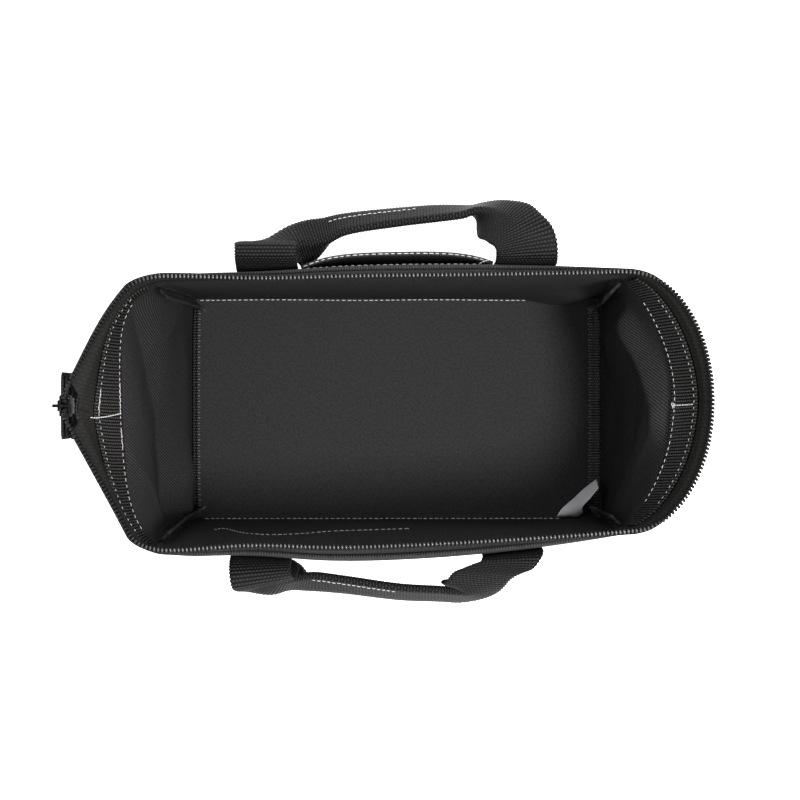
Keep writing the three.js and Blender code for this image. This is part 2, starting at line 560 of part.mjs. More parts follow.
bridgeWindow.lineTo(-BRIDGE.stand + BRIDGE.bar, -windowHalf);
bridgeWindow.lineTo(0, -windowHalf);
bridgeShape.holes.push(bridgeWindow);
const outerFace = SLIDER.x - reach - SLIDER.plate;
const bridgeMiddle = SLIDER.top - BRIDGE.lift;
const bridge = extruded(bridgeShape, BRIDGE.width);
bridge.rotateX(Math.PI / 2);
bridge.translate(outerFace, SLIDER.y + BRIDGE.width / 2, bridgeMiddle);
const neckShape = new THREE.Shape();
neckShape.moveTo(-SLIDER.neckWidth / 2, 0);
neckShape.lineTo(-SLIDER.neckWidth / 2, -SLIDER.neckHeight + 1);
neckShape.lineTo(0, -SLIDER.neckHeight);
neckShape.lineTo(SLIDER.neckWidth / 2, -SLIDER.neckHeight + 1);
neckShape.lineTo(SLIDER.neckWidth / 2, 0);
const sliderParts = [
  placed(extruded(sliderPlate(0), SLIDER.plate), SLIDER.y, SLIDER.top, outerFace),
  placed(extruded(sliderPlate(0), SLIDER.plate), SLIDER.y, SLIDER.top, SLIDER.x + reach),
  placed(extruded(neckShape, SLIDER.channel + 0.4), SLIDER.y, SLIDER.top, SLIDER.x - reach - 0.2),
  bridge,
  ...lips,
];
add("zip_slider", joined(sliderParts), { color: 0x2a2a2c, roughness: 0.4, metalness: 0.8 });

// Pull tab: its crossbar lies in the bridge's window and it leans on the end tab below
const pullShape = roundedRectangle(PULL.width, PULL.length, 2);
const eyePath = new THREE.Path();
const eyeTop = PULL.length / 2 - 2 * PULL.bar;
eyePath.moveTo(-PULL.eyeWidth / 2, eyeTop);
eyePath.lineTo(-PULL.eyeWidth / 2, eyeTop - PULL.eye + PULL.bar);
eyePath.lineTo(PULL.eyeWidth / 2, eyeTop - PULL.eye + PULL.bar);
eyePath.lineTo(PULL.eyeWidth / 2, eyeTop);
pullShape.holes.push(eyePath);
const pullGeometry = extruded(pullShape, PULL.thick);
pullGeometry.translate(0, PULL.bar - PULL.length / 2, -PULL.thick / 2);
pullGeometry.applyMatrix4(sliderFrame);
const pull = add("zip_pull", pullGeometry, { color: 0x2a2a2c, roughness: 0.4, metalness: 0.8 });
pull.position.set(outerFace - (BRIDGE.stand - BRIDGE.bar) / 2, SLIDER.y, bridgeMiddle - windowHalf + 1.3);
pull.rotation.y = THREE.MathUtils.degToRad(PULL.lean);

// Closed end of the zip below the slider: the two tapes side by side with the chain down the middle
const tailTop = SLIDER.top - SLIDER.height - GAP;
const tailParts = [[TAIL.width, TAIL.thick], [TAIL.chainWidth, TAIL.chainThick]].map(([width, thick]) =>
  placed(new THREE.BoxGeometry(width, TAIL.length, thick), SLIDER.y, tailTop - TAIL.length / 2, TAB.x));
add("zip_tail", joined(tailParts), ZIP_BLACK);

// End tab: webbing folded up round the end of the tail
const tabShape = new THREE.Shape();
const tabInner = TAIL.chainThick / 2 + GAP;
const tabOuter = tabInner + TAB.thick;
const tabHigh = tailTop - 1.5;
const tabLow = tailTop - TAB.height;
tabShape.moveTo(-tabOuter, tabHigh);
tabShape.lineTo(-tabOuter, tabLow + tabOuter);
tabShape.absarc(0, tabLow + tabOuter, tabOuter, Math.PI, Math.PI * 2);
tabShape.lineTo(tabOuter, tabHigh);
tabShape.lineTo(tabInner, tabHigh);
tabShape.lineTo(tabInner, tabLow + tabOuter);
tabShape.absarc(0, tabLow + tabOuter, tabInner, 0, -Math.PI, true);
tabShape.lineTo(-tabInner, tabHigh);
const tab = extruded(tabShape, TAB.width, 6);
tab.rotateX(Math.PI / 2);
tab.translate(TAB.x, SLIDER.y + TAB.width / 2, 0);
add("zip_end_tab", tab, WEBBING_BLACK);

// A strap bent along its middle line, from rows that give the crest and the way each half points
function bentStrap(rows) {
  const lines = rows.map(({ crest, less, more }) => {
    const over = more.clone().sub(less).normalize();
    const reach = STRAP_WIDTH / 2 - STRAP_CREASE;
    const first = crest.clone().addScaledVector(over, -STRAP_CREASE);
    const second = crest.clone().addScaledVector(over, STRAP_CREASE);
    const start = first.clone().addScaledVector(less, reach);
    const end = second.clone().addScaledVector(more, reach);
    return [start, first, second, end];
  });
  const points = [];
  const faces = [];
  const lastRow = lines.length - 1;
  lines.forEach((line, i) => {
    const normals = line.map((place, k) => {
      const heading = lines[Math.min(i + 1, lastRow)][k].clone().sub(lines[Math.max(i - 1, 0)][k]);
      const before = line[Math.max(k, 1)].clone().sub(line[Math.max(k, 1) - 1]).normalize();
      const after = line[Math.min(k, 2) + 1].clone().sub(line[Math.min(k, 2)]).normalize();
      const bisector = before.clone().add(after).normalize();
      return heading.cross(bisector).normalize().divideScalar(Math.max(bisector.dot(before), 0.6));
    });
    line.forEach((place, k) => points.push(place.clone().addScaledVector(normals[k], STRAP / 2)));
    line.forEach((place, k) => points.push(place.clone().addScaledVector(normals[k], -STRAP / 2)));
  });
  const quad = (a, b, c, d) => faces.push(a, b, c, a, c, d);
  const loop = [3, 2, 1, 0, 4, 5, 6, 7];
  for (let i = 0; i < lastRow; i += 1) {
    loop.forEach((a, k) => {
      const b = loop[(k + 1) % loop.length];
      quad(i * 8 + a, i * 8 + b, i * 8 + 8 + b, i * 8 + 8 + a);
    });
  }
  for (let k = 0; k < 3; k += 1) {
    quad(k, k + 1, k + 5, k + 4);
    quad(lastRow * 8 + k, lastRow * 8 + k + 4, lastRow * 8 + k + 5, lastRow * 8 + k + 1);
  }
  return geometryOf(points, faces);
}

// Handles: a leg sewn up the wall at each side and the loose stretch between them
function handle(name, plan) {
  const out = CANVAS / 2 + GAP + 0.6 + STRAP / 2;
  const pointing = (turn, dip) => {
    const level = Math.cos(THREE.MathUtils.degToRad(dip));
    const round = THREE.MathUtils.degToRad(turn);
    const down = Math.sin(THREE.MathUtils.degToRad(dip));
    return new THREE.Vector3(Math.cos(round) * level, plan.sign * Math.sin(round) * level, -down);
  };
  const leg = (x, facing) => LEG_SHARES.map((share) => {
    const part = (x / sectionAt(share).halfLength + 1) / 2;
    const lap = plan.wall === FAR ? part : 3 - part;
    const along = cloth(lap + 0.05, share).sub(cloth(lap - 0.05, share));
    const more = along.multiplyScalar(facing * plan.sign).normalize();
    return { crest: onCloth(lap, share, out), less: more.clone().negate(), more };
  });
  const loose = plan.loose.map((row) => ({
    crest: new THREE.Vector3(row.x, plan.sign * row.out, row.z),
    less: pointing(row.lessTurn, row.lessDip),
    more: pointing(row.moreTurn, row.moreDip),
  }));
  const stations = [...leg(plan.left, 1), ...loose, ...leg(plan.right, -1).reverse()];
  const curve = new THREE.CatmullRomCurve3(stations.map((row) => row.crest));
  const lastStation = stations.length - 1;
  const rows = listed(0, lastStation, lastStation * HANDLE_STEPS).map((place) => {
    const index = Math.min(Math.floor(place), lastStation - 1);
    const mix = place - index;
    return {
      crest: curve.getPoint(place / lastStation),
      less: stations[index].less.clone().lerp(stations[index + 1].less, mix).normalize(),
      more: stations[index].more.clone().lerp(stations[index + 1].more, mix).normalize(),
    };
  });
  add(name, bentStrap(rows), WEBBING_BLACK);
}
handle("handle_far", HANDLE_FAR);
handle("handle_near", HANDLE_NEAR);

// Patch pocket outside the far wall, sewn down at three sides and gaping at the top
const pocketOut = (along, share) => {
  const rise = THREE.MathUtils.smoothstep(share, POCKET_FOOT, 0.7);
  return CANVAS / 2 + GAP + 0.15 + POCKET_CLOTH / 2 + POCKET_GAPE * (1 - along ** 4) * rise;
};
const pocketLap = (along, share) => ((along * POCKET_HALF) / sectionAt(share).halfLength + 1) / 2;
const pocketMiddle = (along, share) => onCloth(pocketLap(along, share), share, pocketOut(along, share));
const pocketFacing = (along, share) => {
  const up = pocketMiddle(along, share + 0.01).sub(pocketMiddle(along, share - 0.01));
  return up.cross(pocketMiddle(along + 0.01, share).sub(pocketMiddle(along - 0.01, share))).normalize();
};
const pocketShares = [POCKET_FOOT, 0.16, 0.28, 0.42, 0.56, 0.7, 0.79, POCKET_TOP];
const pocket = sheet(listed(-1, 1, 14), pocketShares, POCKET_CLOTH, pocketMiddle, pocketFacing);
add("pocket_far", pocket, CLOTH_BLACK);

// Label
const labelStations = LABEL_ROWS.map((row) => (
  { middle: new THREE.Vector3(row.x, row.y, row.z), across: acrossOf(row.turn, row.tilt, -1) }));
const label = strip(eased(labelStations, 4, LABEL_WIDTH, LABEL));
add("care_label", label, { color: 0x8e8d92, roughness: 0.8, metalness: 0 });

export default group;
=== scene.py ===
"""A small black canvas work bag standing open, seen from straight above: cloth, webbing, zip and stitches."""

import math

import bpy
import numpy as np
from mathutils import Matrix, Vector


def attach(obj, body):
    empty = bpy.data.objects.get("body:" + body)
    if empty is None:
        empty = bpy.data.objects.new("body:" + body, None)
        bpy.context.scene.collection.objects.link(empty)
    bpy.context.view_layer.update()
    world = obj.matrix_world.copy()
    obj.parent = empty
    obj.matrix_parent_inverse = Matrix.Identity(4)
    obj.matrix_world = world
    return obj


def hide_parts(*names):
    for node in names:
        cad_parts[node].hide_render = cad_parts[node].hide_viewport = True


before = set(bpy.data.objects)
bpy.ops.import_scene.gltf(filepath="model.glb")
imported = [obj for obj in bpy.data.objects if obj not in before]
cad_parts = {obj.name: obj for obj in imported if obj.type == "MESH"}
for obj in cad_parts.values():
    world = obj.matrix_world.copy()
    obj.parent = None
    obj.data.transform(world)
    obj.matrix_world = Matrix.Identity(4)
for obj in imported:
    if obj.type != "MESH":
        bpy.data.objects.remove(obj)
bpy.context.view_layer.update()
bpy.ops.object.select_all(action="DESELECT")

MM = 0.001

# Sizes of the bag in millimetres, the same as in the part's source
BASE_LENGTH = 304.8
BASE_WIDTH = 165.1
BASE_THICK = 3.0
BASE_CORNER = 8.0
RIM_HEIGHT = 203.0
END_DROP = 5.0
GAP = 0.3
CANVAS = 2.0
WALL_FOOT = BASE_THICK + GAP
SEAM_LAP = 0.06
COIL_RADIUS = 1.8
TAPE = 1.0
TAPE_FOOT = 0.912
TAPE_HANG = 2.5
WALL_TOP = 0.955
APEX_SHIFT = 4.5
STRAP_WIDTH = 38.1
STRAP = 2.0
BAND = 1.8
BAND_FOOT = 0.8
BAND_TOP = 0.903
BINDING_WIDTH = 9.0
BINDING = 2.2
POCKET_HALF = 60.0
POCKET_FOOT = 0.06
POCKET_TOP = 0.87
POCKET_GAPE = 6.2
POCKET_CLOTH = 1.6
SLIDER_X = -204.6
SLIDER_Y = 2.8
SLIDER_TOP = 196.4
SLIDER_HEIGHT = 14.5
NECK_WIDTH = 1.6
TAB_X = -206.2
TAB_WIDTH = 41.4
TAB_HEIGHT = 27.0
TAB_THICK = 1.6
TAIL_WIDTH = 38.0
TAIL_LENGTH = 20.0
LABEL_WIDTH = 17.0
LABEL = 0.8

# Small sizes that only the looks need. A room is what stays free behind a piece for its ribs. A strap turns
# over within BEND of its middle, and its edges wave SCALLOP times as far as its ribs rise
UP = np.array((0.0, 0.0, 1.0))
FLOOR_SAG = 0.35
FLOOR_RIPPLE = 0.2
FOLD_FOOT = 0.12
RIB_PITCH = 2.0
BAND_PITCH = 2.05
RIB_RELIEF = 0.2
SCALLOP = 1.7
BEND = 2.1
BAND_ROOM = 0.7
STRAP_ROOM = 0.6
TAPE_ROOM = 0.5
TAPE_RIB = 0.7
POCKET_ROOM = 0.15
POCKET_HEM = 0.06
EDGE_THIN = 0.85
BINDING_GROOVE = 0.6
GROOVE_HALF = 0.7
BINDING_OFF_CORNER = 2.8
BINDING_OFF_FLOOR = 1.25
TAIL_TAPE = 1.4
TAIL_LANE = 1.2
TAIL_RING = 1.3
TAIL_HALF = 1.9
TAB_SHORT = 1.5
SLUB = 1.8
PLY = 0.5
FLECK = 2.2
STREAK = 9
THREAD_DUST = 14
CLOTH_SHINE = 0.06
PAPER_SIZE = 6.0
PAPER_GRAIN = 3
PAPER_GLOW = 0.35
PAPER_DROP = 0.4
ROOM_LIGHT = 1.8

# The zip tape: shares of height between which it comes up to the coil, how far it stands behind or before
# that, how near the slider it is cut lower and how near the right end's middle it stands before the coil. Its
# ribbed strip: how near a long wall's middle it lies, and the steps up the tape where it rises and fades
TAPE_TUCK = (0.952, 0.982)
TAPE_BEHIND = 1.5
TAPE_BEFORE = -0.4
TAPE_CUT = (0.02, 0.07)
TAPE_FRONT = (0.42, 0.3)
STRIP_NEAR = (0.56, 0.48)
STRIP_RISE = (0.05, 0.14)
STRIP_FADE = (0.3, 0.42)

# The coil's loops: spacing and sizes, how long they stand square across, how their thickness swings from body
# to head, how far the heads lean in and then swing out between two x, and the x between which they go dull
COIL_PITCH = 2.5
COIL_WIRE = 0.68
COIL_RING = 1.0
COIL_ROOM = 0.35
COIL_STALL = 0.9
COIL_BODY = 0.78
COIL_HEAD = 0.58
COIL_LEAN = 0.7
COIL_SWING = 2.2
COIL_TURN = (140, 170)
COIL_DULL = (140, 165)

# Points along and across each kind of sheet
GRIDS = {
    "floor": (124, 72),
    "long_wall": (136, 100),
    "end_wall": (130, 100),
    "band": (520, 20),
    "tape": (800, 18),
    "pocket": (90, 110),
}

# Stitches: spacing, length and half the thread's thickness
SEWING = {
    "plain": (4.0, 2.8, 0.34),
    "wall": (4.0, 2.8, 0.25),
    "band_foot": (4.0, 2.1, 0.22),
    "band_top": (4.0, 1.5, 0.18),
    "doubled": (2.2, 2.1, 0.27),
    "bar": (2.1, 1.9, 0.4),
    "hook": (2.2, 2.1, 0.34),
    "grip": (3.4, 2.2, 0.27),
}

# The walls in turn, and the half lengths that places along them are shares of
FAR, RIGHT, NEAR, LEFT = range(4)
LONG_HALF = 145.0
END_HALF = 85.0

# The cloth by height, a row for each level
SECTION_COLUMNS = ("farLeft", "farRight", "nearRight", "nearLeft", "halfLength", "farBulge", "nearBulge",
                   "rightReach", "leftReach", "rightSquare", "leftSquare", "vee")
SECTION_SHARES = np.array((0, 0.25, 0.5, 0.75, 0.9, 0.955, 1))
SECTIONS = np.array((
    (81.5, 81.5, 81.5, 81.5, 143.0, 0.0, 0.0, 8.4, 8.4, 6.0, 6.0, 0.0),
    (81.3, 81.8, 80.8, 82.0, 143.4, 0.4, 0.6, 10.5, 10.0, 4.4, 5.0, 0.0),
    (81.0, 82.6, 79.6, 84.0, 143.4, 1.8, 3.0, 17.0, 16.0, 2.4, 3.8, 0.0),
    (81.4, 85.0, 78.0, 87.4, 142.4, 4.4, 7.6, 33.0, 29.5, 1.5, 3.0, 0.0),
    (82.4, 87.0, 76.4, 89.0, 141.4, 5.0, 9.6, 49.0, 50.0, 1.75, 2.4, 0.35),
    (82.8, 86.6, 75.2, 88.0, 141.0, 3.2, 7.8, 51.6, 59.5, 1.9, 2.2, 0.8),
    (82.2, 84.8, 74.0, 85.6, 140.5, -0.8, 3.0, 53.0, 68.5, 2.0, 2.0, 1.0),
))

# Soft folds: side, along and share at one end, along and share at the other, depth out, width
FOLDS = (
    (NEAR, 0.64, 0.72, 0.64, 1.1, -2.8, 38),
    (NEAR, 0.92, 0.6, 0.92, 0.84, 2, 13),
    (NEAR, 0.2, 0.3, -0.5, 0.5, -2, 34),
    (FAR, 0.82, 0.07, 0.92, 0.3, -7.5, 24),
    (FAR, -0.58, 0.8, -0.58, 1.1, -1.2, 40),
    (LEFT, 0.62, 0.72, 0.2, 0.57, 5, 20),
    (LEFT, -0.2, 0.46, -0.6, 0.44, 5, 20),
    (LEFT, 0.2, 0.2, -0.1, 0.2, -3, 22),
    (LEFT, -0.42, 0.22, -0.62, 0.22, -7, 18),
    (RIGHT, -0.45, 0.6, 0.03, 0.74, -6.5, 13),
    (RIGHT, -0.42, 0.2, -0.42, 0.6, -5, 16),
    (RIGHT, 0.1, 0.62, 0.62, 0.4, -5, 16),
    (RIGHT, 0.05, 0.2, 0, 0.5, 5, 24),
    (LEFT, 0.45, 0.84, 0.45, 1.1, 3.6, 26),
)

# Sharp creases in the end walls: side, depth out, width, and the along and share of each point on the way
CREASES = (
    (LEFT, 2.0, 9, ((0.74, 0.79), (0.5, 0.68), (0.29, 0.6), (0, 0.5), (-0.33, 0.43), (-0.62, 0.44))),
    (LEFT, -2.2, 8, ((0.66, 0.3), (0.42, 0.46), (0.36, 0.56))),
    (LEFT, -4.0, 9, ((0.9, 0.2), (0.84, 0.4), (0.9, 0.62))),
    (LEFT, -2.0, 7, ((-0.2, 0.76), (-0.42, 0.6), (-0.7, 0.52))),
    (RIGHT, -3.2, 8, ((-0.5, 0.56), (-0.29, 0.64), (0.03, 0.745))),
    (RIGHT, 1.6, 9, ((-0.6, 0.5), (-0.3, 0.45), (0.1, 0.42), (0.4, 0.4))),
    (RIGHT, -3.0, 9, ((-0.9, 0.2), (-0.82, 0.45), (-0.86, 0.68))),
    (RIGHT, -2.4, 8, ((0.06, 0.76), (0.3, 0.62), (0.62, 0.5))),
)

# The lines along the bands, as shares up the wall
BAND_SEAM_FOOT = BAND_FOOT + 0.013
BAND_SEAM_TOP = BAND_TOP - 0.012

# Stitches sewn twice over on the bands, a row beside the left end's bar and a knot on the right end's:
# share up the wall, and where they start and end along it
DOUBLED_LEFT = ((0.813, 0.5, 0.58), (0.813, 0.42, 0.465), (0.891, 0.5, 0.555))
KNOT_RIGHT = ((0.807, 0.499, 0.513), (0.811, 0.5, 0.514))

# The line sewn inside the near wall: x and share
WALL_SEAM = ((-125, 0.41), (-120, 0.375), (-104, 0.49), (-87, 0.535), (-66, 0.5), (-46, 0.455), (-19, 0.445),
             (10, 0.44))

# The lines along the floor: where they start and end in x, and how far out the far one lies
FLOOR_SEAM_FAR = (-145, 97)
FLOOR_SEAM_NEAR = (-141, 119)
FLOOR_SEAM_OUT = 79.7

# The lines along the pocket: where its hem's starts and ends as shares of its half width, and the wall's in x
POCKET_SEAM = (-0.98, 0.92)
POCKET_WALL_SEAM = (-57, 50)

# How a coil leaves the slider: distance back, out from its lane and up from the slider's top
COIL_MOUTH = ((0, 0, -4.6), (0, 0, -1.8), (0.1, 2.2, 1.9))

# Handles, a row for each place from the left leg to the right: x, distance out from the middle and z of the
# crest, then the turn and dip of the way that each half of the strap points from there
LEG_SHARES = (0.055, 0.18, 0.3, 0.42, 0.54, 0.66, 0.76, 0.84)
HANDLE_FAR = (
    (-81.5, 92, 184, 180, 0, 0, 0),
    (-81.5, 97, 190, 180, 0, 0, 0),
    (-81.5, 101.8, 189.4, 180, 0, 0, 0),
    (-81.5, 104.3, 183, 180, 2, 0, 2),
    (-79.5, 103.6, 175, 172, 28, -18, 10),
    (-71, 104.2, 171.5, 160, 45, -50, 25),
    (-61.4, 105, 171, 117, 42, -74, 47),
    (-51.8, 105.5, 170.5, 110, 32, -80, 69),
    (-43.6, 107, 171, 104, 36, -84, 95),
    (-34, 111, 173, 97, 45, -88, 124),
    (2, 117.4, 173, 90, 55, -90, 114),
    (27, 120.4, 174, 90, 60, -90, 109),
    (42, 122.6, 174.4, 90, 68, -90, 101),
    (48.2, 125, 175, 88, 76, -92, 93),
    (52, 125.4, 176.5, 73, 72, -102, 78),
    (57.7, 124.6, 179, 57, 60, -122, 48),
    (64.2, 121.4, 182, 48, 42, -132, 14),
    (69.4, 118, 185, 39, 24, -141, 3),
    (73.6, 112.9, 190, 29, 14, -151, 5),
    (78, 107.6, 191.6, 19, 4, -161, 3),
    (80, 102, 191.4, 10, 0, -170, 0),
    (80.5, 96.8, 189.6, 2, 0, -178, 0),
    (80.5, 92.6, 184, 0, 0, -180, 0),
)
HANDLE_NEAR = (
    (-85.5, 95.5, 183, 180, 0, 0, 0),
    (-85, 101, 188.5, 175, 0, -5, 0),
    (-84, 106, 187.6, 170, 0, -10, 0),
    (-82.5, 108.6, 182, 168, 4, -12, 4),
    (-80, 107.5, 174.5, 155, 25, -20, 10),
    (-72, 106.5, 171.5, 126, 45, -66, 54),
    (-63, 105.3, 171.5, 120, 56, -79, 75),
    (-53, 103.4, 172.5, 98, 53, -85, 116),
    (-36, 105.4, 173, 90, 56, -90, 113),
    (2, 110.9, 173, 90, 60, -90, 109),
    (28, 112.4, 174, 88, 62, -91, 106),
    (37, 113.4, 175, 72, 62, -108, 80),
    (43, 114.4, 177, 33, 56, -155, 38),
    (46.6, 112.6, 181, 9, 32, -166, 2),
    (48.8, 108.7, 184.6, 4, 15, -176, -4),
    (50.9, 104.9, 187.6, 3, 8, -177, -2),
    (53.9, 101.6, 189.6, 4, 2, -176, 0),
    (58.7, 99.3, 190.6, 4, 0, -176, 0),
    (65.2, 96.6, 191, 4, 0, -176, 0),
    (70.5, 92.6, 189, -4, 0, -184, 0),
    (72, 90.4, 184, -6, 0, -186, 0),
)

# The label, a row for each place from its seam up: x, distance out to the near side, z, and the turn and lean
# of its width. It twists more than its solid does, within the same place
LABEL_ROWS = (
    (124.5, 79.2, 4.2, 0, 0),
    (125, 77, 13, 8, 4),
    (129.5, 68.5, 22, 68, -15),
    (136.2, 60.5, 28, 80, -20),
    (143.2, 53.4, 31, 92, -18),
)


def lerp(a, b, t):
    return a + (b - a) * t


def smoothstep(x, low, high):
    t = np.clip((np.asarray(x, float) - low) / (high - low), 0, 1)
    return t * t * (3 - 2 * t)


def unit(v):
    return v / np.maximum(np.linalg.norm(v, axis=-1, keepdims=True), 1e-9)


def section_at(share):
    """Every column of the section table, eased through its levels by a cubic with straight ends."""
    share = np.clip(share, 0, 1)
    t = SECTION_SHARES
    top = np.clip(np.searchsorted(t, share, side="right"), 1, len(t) - 1)
    low = top - 1
    before = np.where(low > 0, low - 1, top)
    after = np.where(top < len(t) - 1, np.minimum(top + 1, len(t) - 1), low)
    half = (t[top] - t[low]) / 2
    w_before = (half / (t[low] - t[before]))[..., None]
    w_after = (half / (t[after] - t[top]))[..., None]
    p = ((share - t[low]) / (t[top] - t[low]))[..., None]
    s_before = -w_before * p**3 + 2 * w_before * p**2 - w_before * p
    s_low = (1 + w_before) * p**3 + (-1.5 - 2 * w_before) * p**2 + (-0.5 + w_before) * p + 1
    s_top = (-1 - w_after) * p**3 + (1.5 + w_after) * p**2 + 0.5 * p
    s_after = w_after * p**3 - w_after * p**2
    mixed = (s_before * SECTIONS[before] + s_low * SECTIONS[low]
             + s_top * SECTIONS[top] + s_after * SECTIONS[after])
    return {name: mixed[..., i] for i, name in enumerate(SECTION_COLUMNS)}


def off_line(place, start, end):
    """How far places lie from the straight line between two points."""
    run = end - start
    t = np.clip(((place - start) @ run) / (run @ run), 0, 1)
    return np.linalg.norm(place - start - t[..., None] * run, axis=-1)


def fold_depth(side, along, share):
    """How far the soft folds and the sharp creases push one wall out."""
    flat = np.array((LONG_HALF if side in (FAR, NEAR) else END_HALF, RIM_HEIGHT))
    place = np.stack((along, share), -1) * flat
    depth = np.zeros(np.shape(along))
    for fold_side, start_along, start_share, end_along, end_share, deep, width in FOLDS:
        if fold_side == side:
            ends = np.array(((start_along, start_share), (end_along, end_share))) * flat
            depth += deep * np.exp(-((off_line(place, *ends) / width) ** 2))
    for crease_side, deep, width, way in CREASES:
        if crease_side == side:
            knots = np.array(way) * flat
            away = np.min([off_line(place, *ends) for ends in zip(knots[:-1], knots[1:])], 0)
            depth += deep * np.exp(-away / width)
    return depth * (1 - along**8) * smoothstep(share, 0, FOLD_FOOT)


def boxy_end(across, square):
    """The bulge of an end, rounder or squarer."""
    return (1 - np.abs(across) ** square) ** (1 / square)


def pointed_end(across):
    """The vee of the left end: straight from a rounded point, and in to the corner over the last tenth."""
    run = np.hypot(np.abs(across), 0.05)
    corner = np.maximum(0, (np.abs(across) - 0.9) / 0.1)
    return (1 - 0.73 * run) * np.sqrt(np.maximum(0, 1 - corner**2))


def cloth(lap, share):
    """The middle of the cloth. lap counts the walls in turn: far, right end, near, left end."""
    lap, share = np.broadcast_arrays(np.asarray(lap, float), np.asarray(share, float))
    turned = np.mod(lap, 4)
    sides = np.floor(turned).astype(int) % 4
    points = np.zeros(lap.shape + (3,))
    for side in range(4):
        pick = sides == side
        if not pick.any():
            continue
        part, level = (turned - sides)[pick], share[pick]
        along = 2 * part - 1
        row = section_at(level)
        push = fold_depth(side, along, level)
        swell = 1 - along**2
        across = np.sin(along * math.pi / 2)
        drop = 0 if side in (FAR, NEAR) else END_DROP * (1 - across**2)
        z = WALL_FOOT + level * (RIM_HEIGHT - WALL_FOOT - drop)
        if side == FAR:
            x = along * row["halfLength"]
            y = lerp(row["farLeft"], row["farRight"], part) + row["farBulge"] * swell + push
        elif side == NEAR:
            x = -along * row["halfLength"]
            y = -lerp(row["nearRight"], row["nearLeft"], part) - row["nearBulge"] * swell - push
        elif side == RIGHT:
            x = row["halfLength"] + row["rightReach"] * boxy_end(across, row["rightSquare"]) + push
            y = lerp(row["farRight"], -row["nearRight"], (1 + across) / 2)
        else:
            shape = lerp(boxy_end(across, row["leftSquare"]), pointed_end(across), row["vee"])
            x = -row["halfLength"] - row["leftReach"] * shape - push
            y = lerp(-row["nearLeft"], row["farLeft"], (1 + across) / 2)
            y = y + APEX_SHIFT * row["vee"] * swell**2
        points[pick] = np.stack((x, y, z), -1)
    return points


def outward(lap, share):
    """The direction out of the cloth, mitred where two walls meet."""
    lap_step, share_step = 0.012, 0.02
    lap, share = np.broadcast_arrays(np.asarray(lap, float), np.asarray(share, float))
    here = cloth(lap, share)
    ahead = unit(cloth(lap + lap_step, share) - here)
    behind = unit(here - cloth(lap - lap_step, share))
    up = cloth(lap, np.minimum(1, share + share_step)) - cloth(lap, np.maximum(0, share - share_step))
    return unit(np.cross(up, ahead + behind))


def on_cloth(lap, share, out):
    """Points that far out from the middle of the cloth."""
    return cloth(lap, share) + outward(lap, share) * np.asarray(out, float)[..., None]


def lap_at(side, x, share):
    """Where along the lap a long wall has that x."""
    part = (x / section_at(np.asarray(share, float))["halfLength"] + 1) / 2
    return part if side == FAR else 3 - part


def spline(stations, steps):
    """Rows eased through stations whose first three columns are a place, steps of them between each two."""
    p = np.asarray(stations, float)
    p = np.vstack((2 * p[0] - p[1], p, 2 * p[-1] - p[-2]))
    rows = []
    for i in range(1, len(p) - 2):
        d0, d1, d2 = (max(np.linalg.norm(p[k + 1, :3] - p[k, :3]), 1e-4) ** 0.5 for k in (i - 1, i, i + 1))
        a, b, c, d = p[i - 1 : i + 3]
        leave = ((b - a) / d0 - (c - a) / (d0 + d1) + (c - b) / d1) * d1
        arrive = ((c - b) / d1 - (d - b) / (d1 + d2) + (d - c) / d2) * d1
        t = (np.arange(steps) / steps)[:, None]
        rows.append(b + leave * t + (3 * (c - b) - 2 * leave - arrive) * t**2
                    + (2 * (b - c) + leave + arrive) * t**3)
    return np.vstack((*rows, p[-2]))


def grid_run(middle):
    """The length run along a grid's first way, the mean of its lines."""
    hops = np.linalg.norm(np.diff(middle, axis=0), axis=-1).mean(1)
    return np.concatenate(((0,), np.cumsum(hops)))


def run_length(rows):
    """The length run along rows that start with a place."""
    return grid_run(rows[:, None, :3])


def sampled(rows, run, places):
    """Rows read off at places along the length that they run."""
    return np.stack([np.interp(places, run, column) for column in rows.T], -1)


def evenly(rows, step):
    """The same rows, respaced by about step along their path."""
    run = run_length(rows)
    return sampled(rows, run, np.linspace(0, run[-1], max(2, int(round(run[-1] / step)) + 1)))


# Materials


def linear(colour):
    """An sRGB hex value as linear red, green, blue and alpha."""
    parts = [int(colour[i : i + 2], 16) / 255 for i in (1, 3, 5)]
    return (*(c / 12.92 if c <= 0.04045 else ((c + 0.055) / 1.055) ** 2.4 for c in parts), 1)


def fill(material, node, inputs):
    """Gives a node's sockets their values and links."""
    for key, value in inputs.items():
        if isinstance(value, bpy.types.NodeSocket):
            material.node_tree.links.new(value, node.inputs[key])
        else:
            node.inputs[key].default_value = value


def shader(material, kind, inputs=None, **settings):
    """Adds a node with its settings, values and links, and gives its outputs."""
    node = material.node_tree.nodes.new("ShaderNode" + kind)
    for name, value in settings.items():
        setattr(node, name, value)
    fill(material, node, inputs or {})
    return node.outputs


def blank(name):
    """A new material and its surface node."""
    material = bpy.data.materials.new(name)
    material.use_nodes = True
    return material, material.node_tree.nodes["Principled BSDF"]


# How a weave's height follows from its turns u across and v along: step, operation and the terms it takes.
# A twill is diagonal lines, a basket rows of staggered beads
WEAVES = {
    "twill": (
        ("lines", "SUBTRACT", "u", "v"),
        ("wave", "SINE", "lines"),
        ("height", "MULTIPLY_ADD", "wave", 0.5, 0.5),
    ),
    "basket": (
        ("wave", "COSINE", "v"),
        ("row", "MULTIPLY_ADD", "wave", 0.5, 0.5),
        ("bead", "SINE", "u"),
        ("half", "MULTIPLY", "v", 0.5),
        ("swap", "COSINE", "half"),
        ("stagger", "MULTIPLY", "bead", "swap"),
        ("beads", "MULTIPLY_ADD", "stagger", 0.4, 0.6),
        ("height", "MULTIPLY", "row", "beads"),
    ),
}


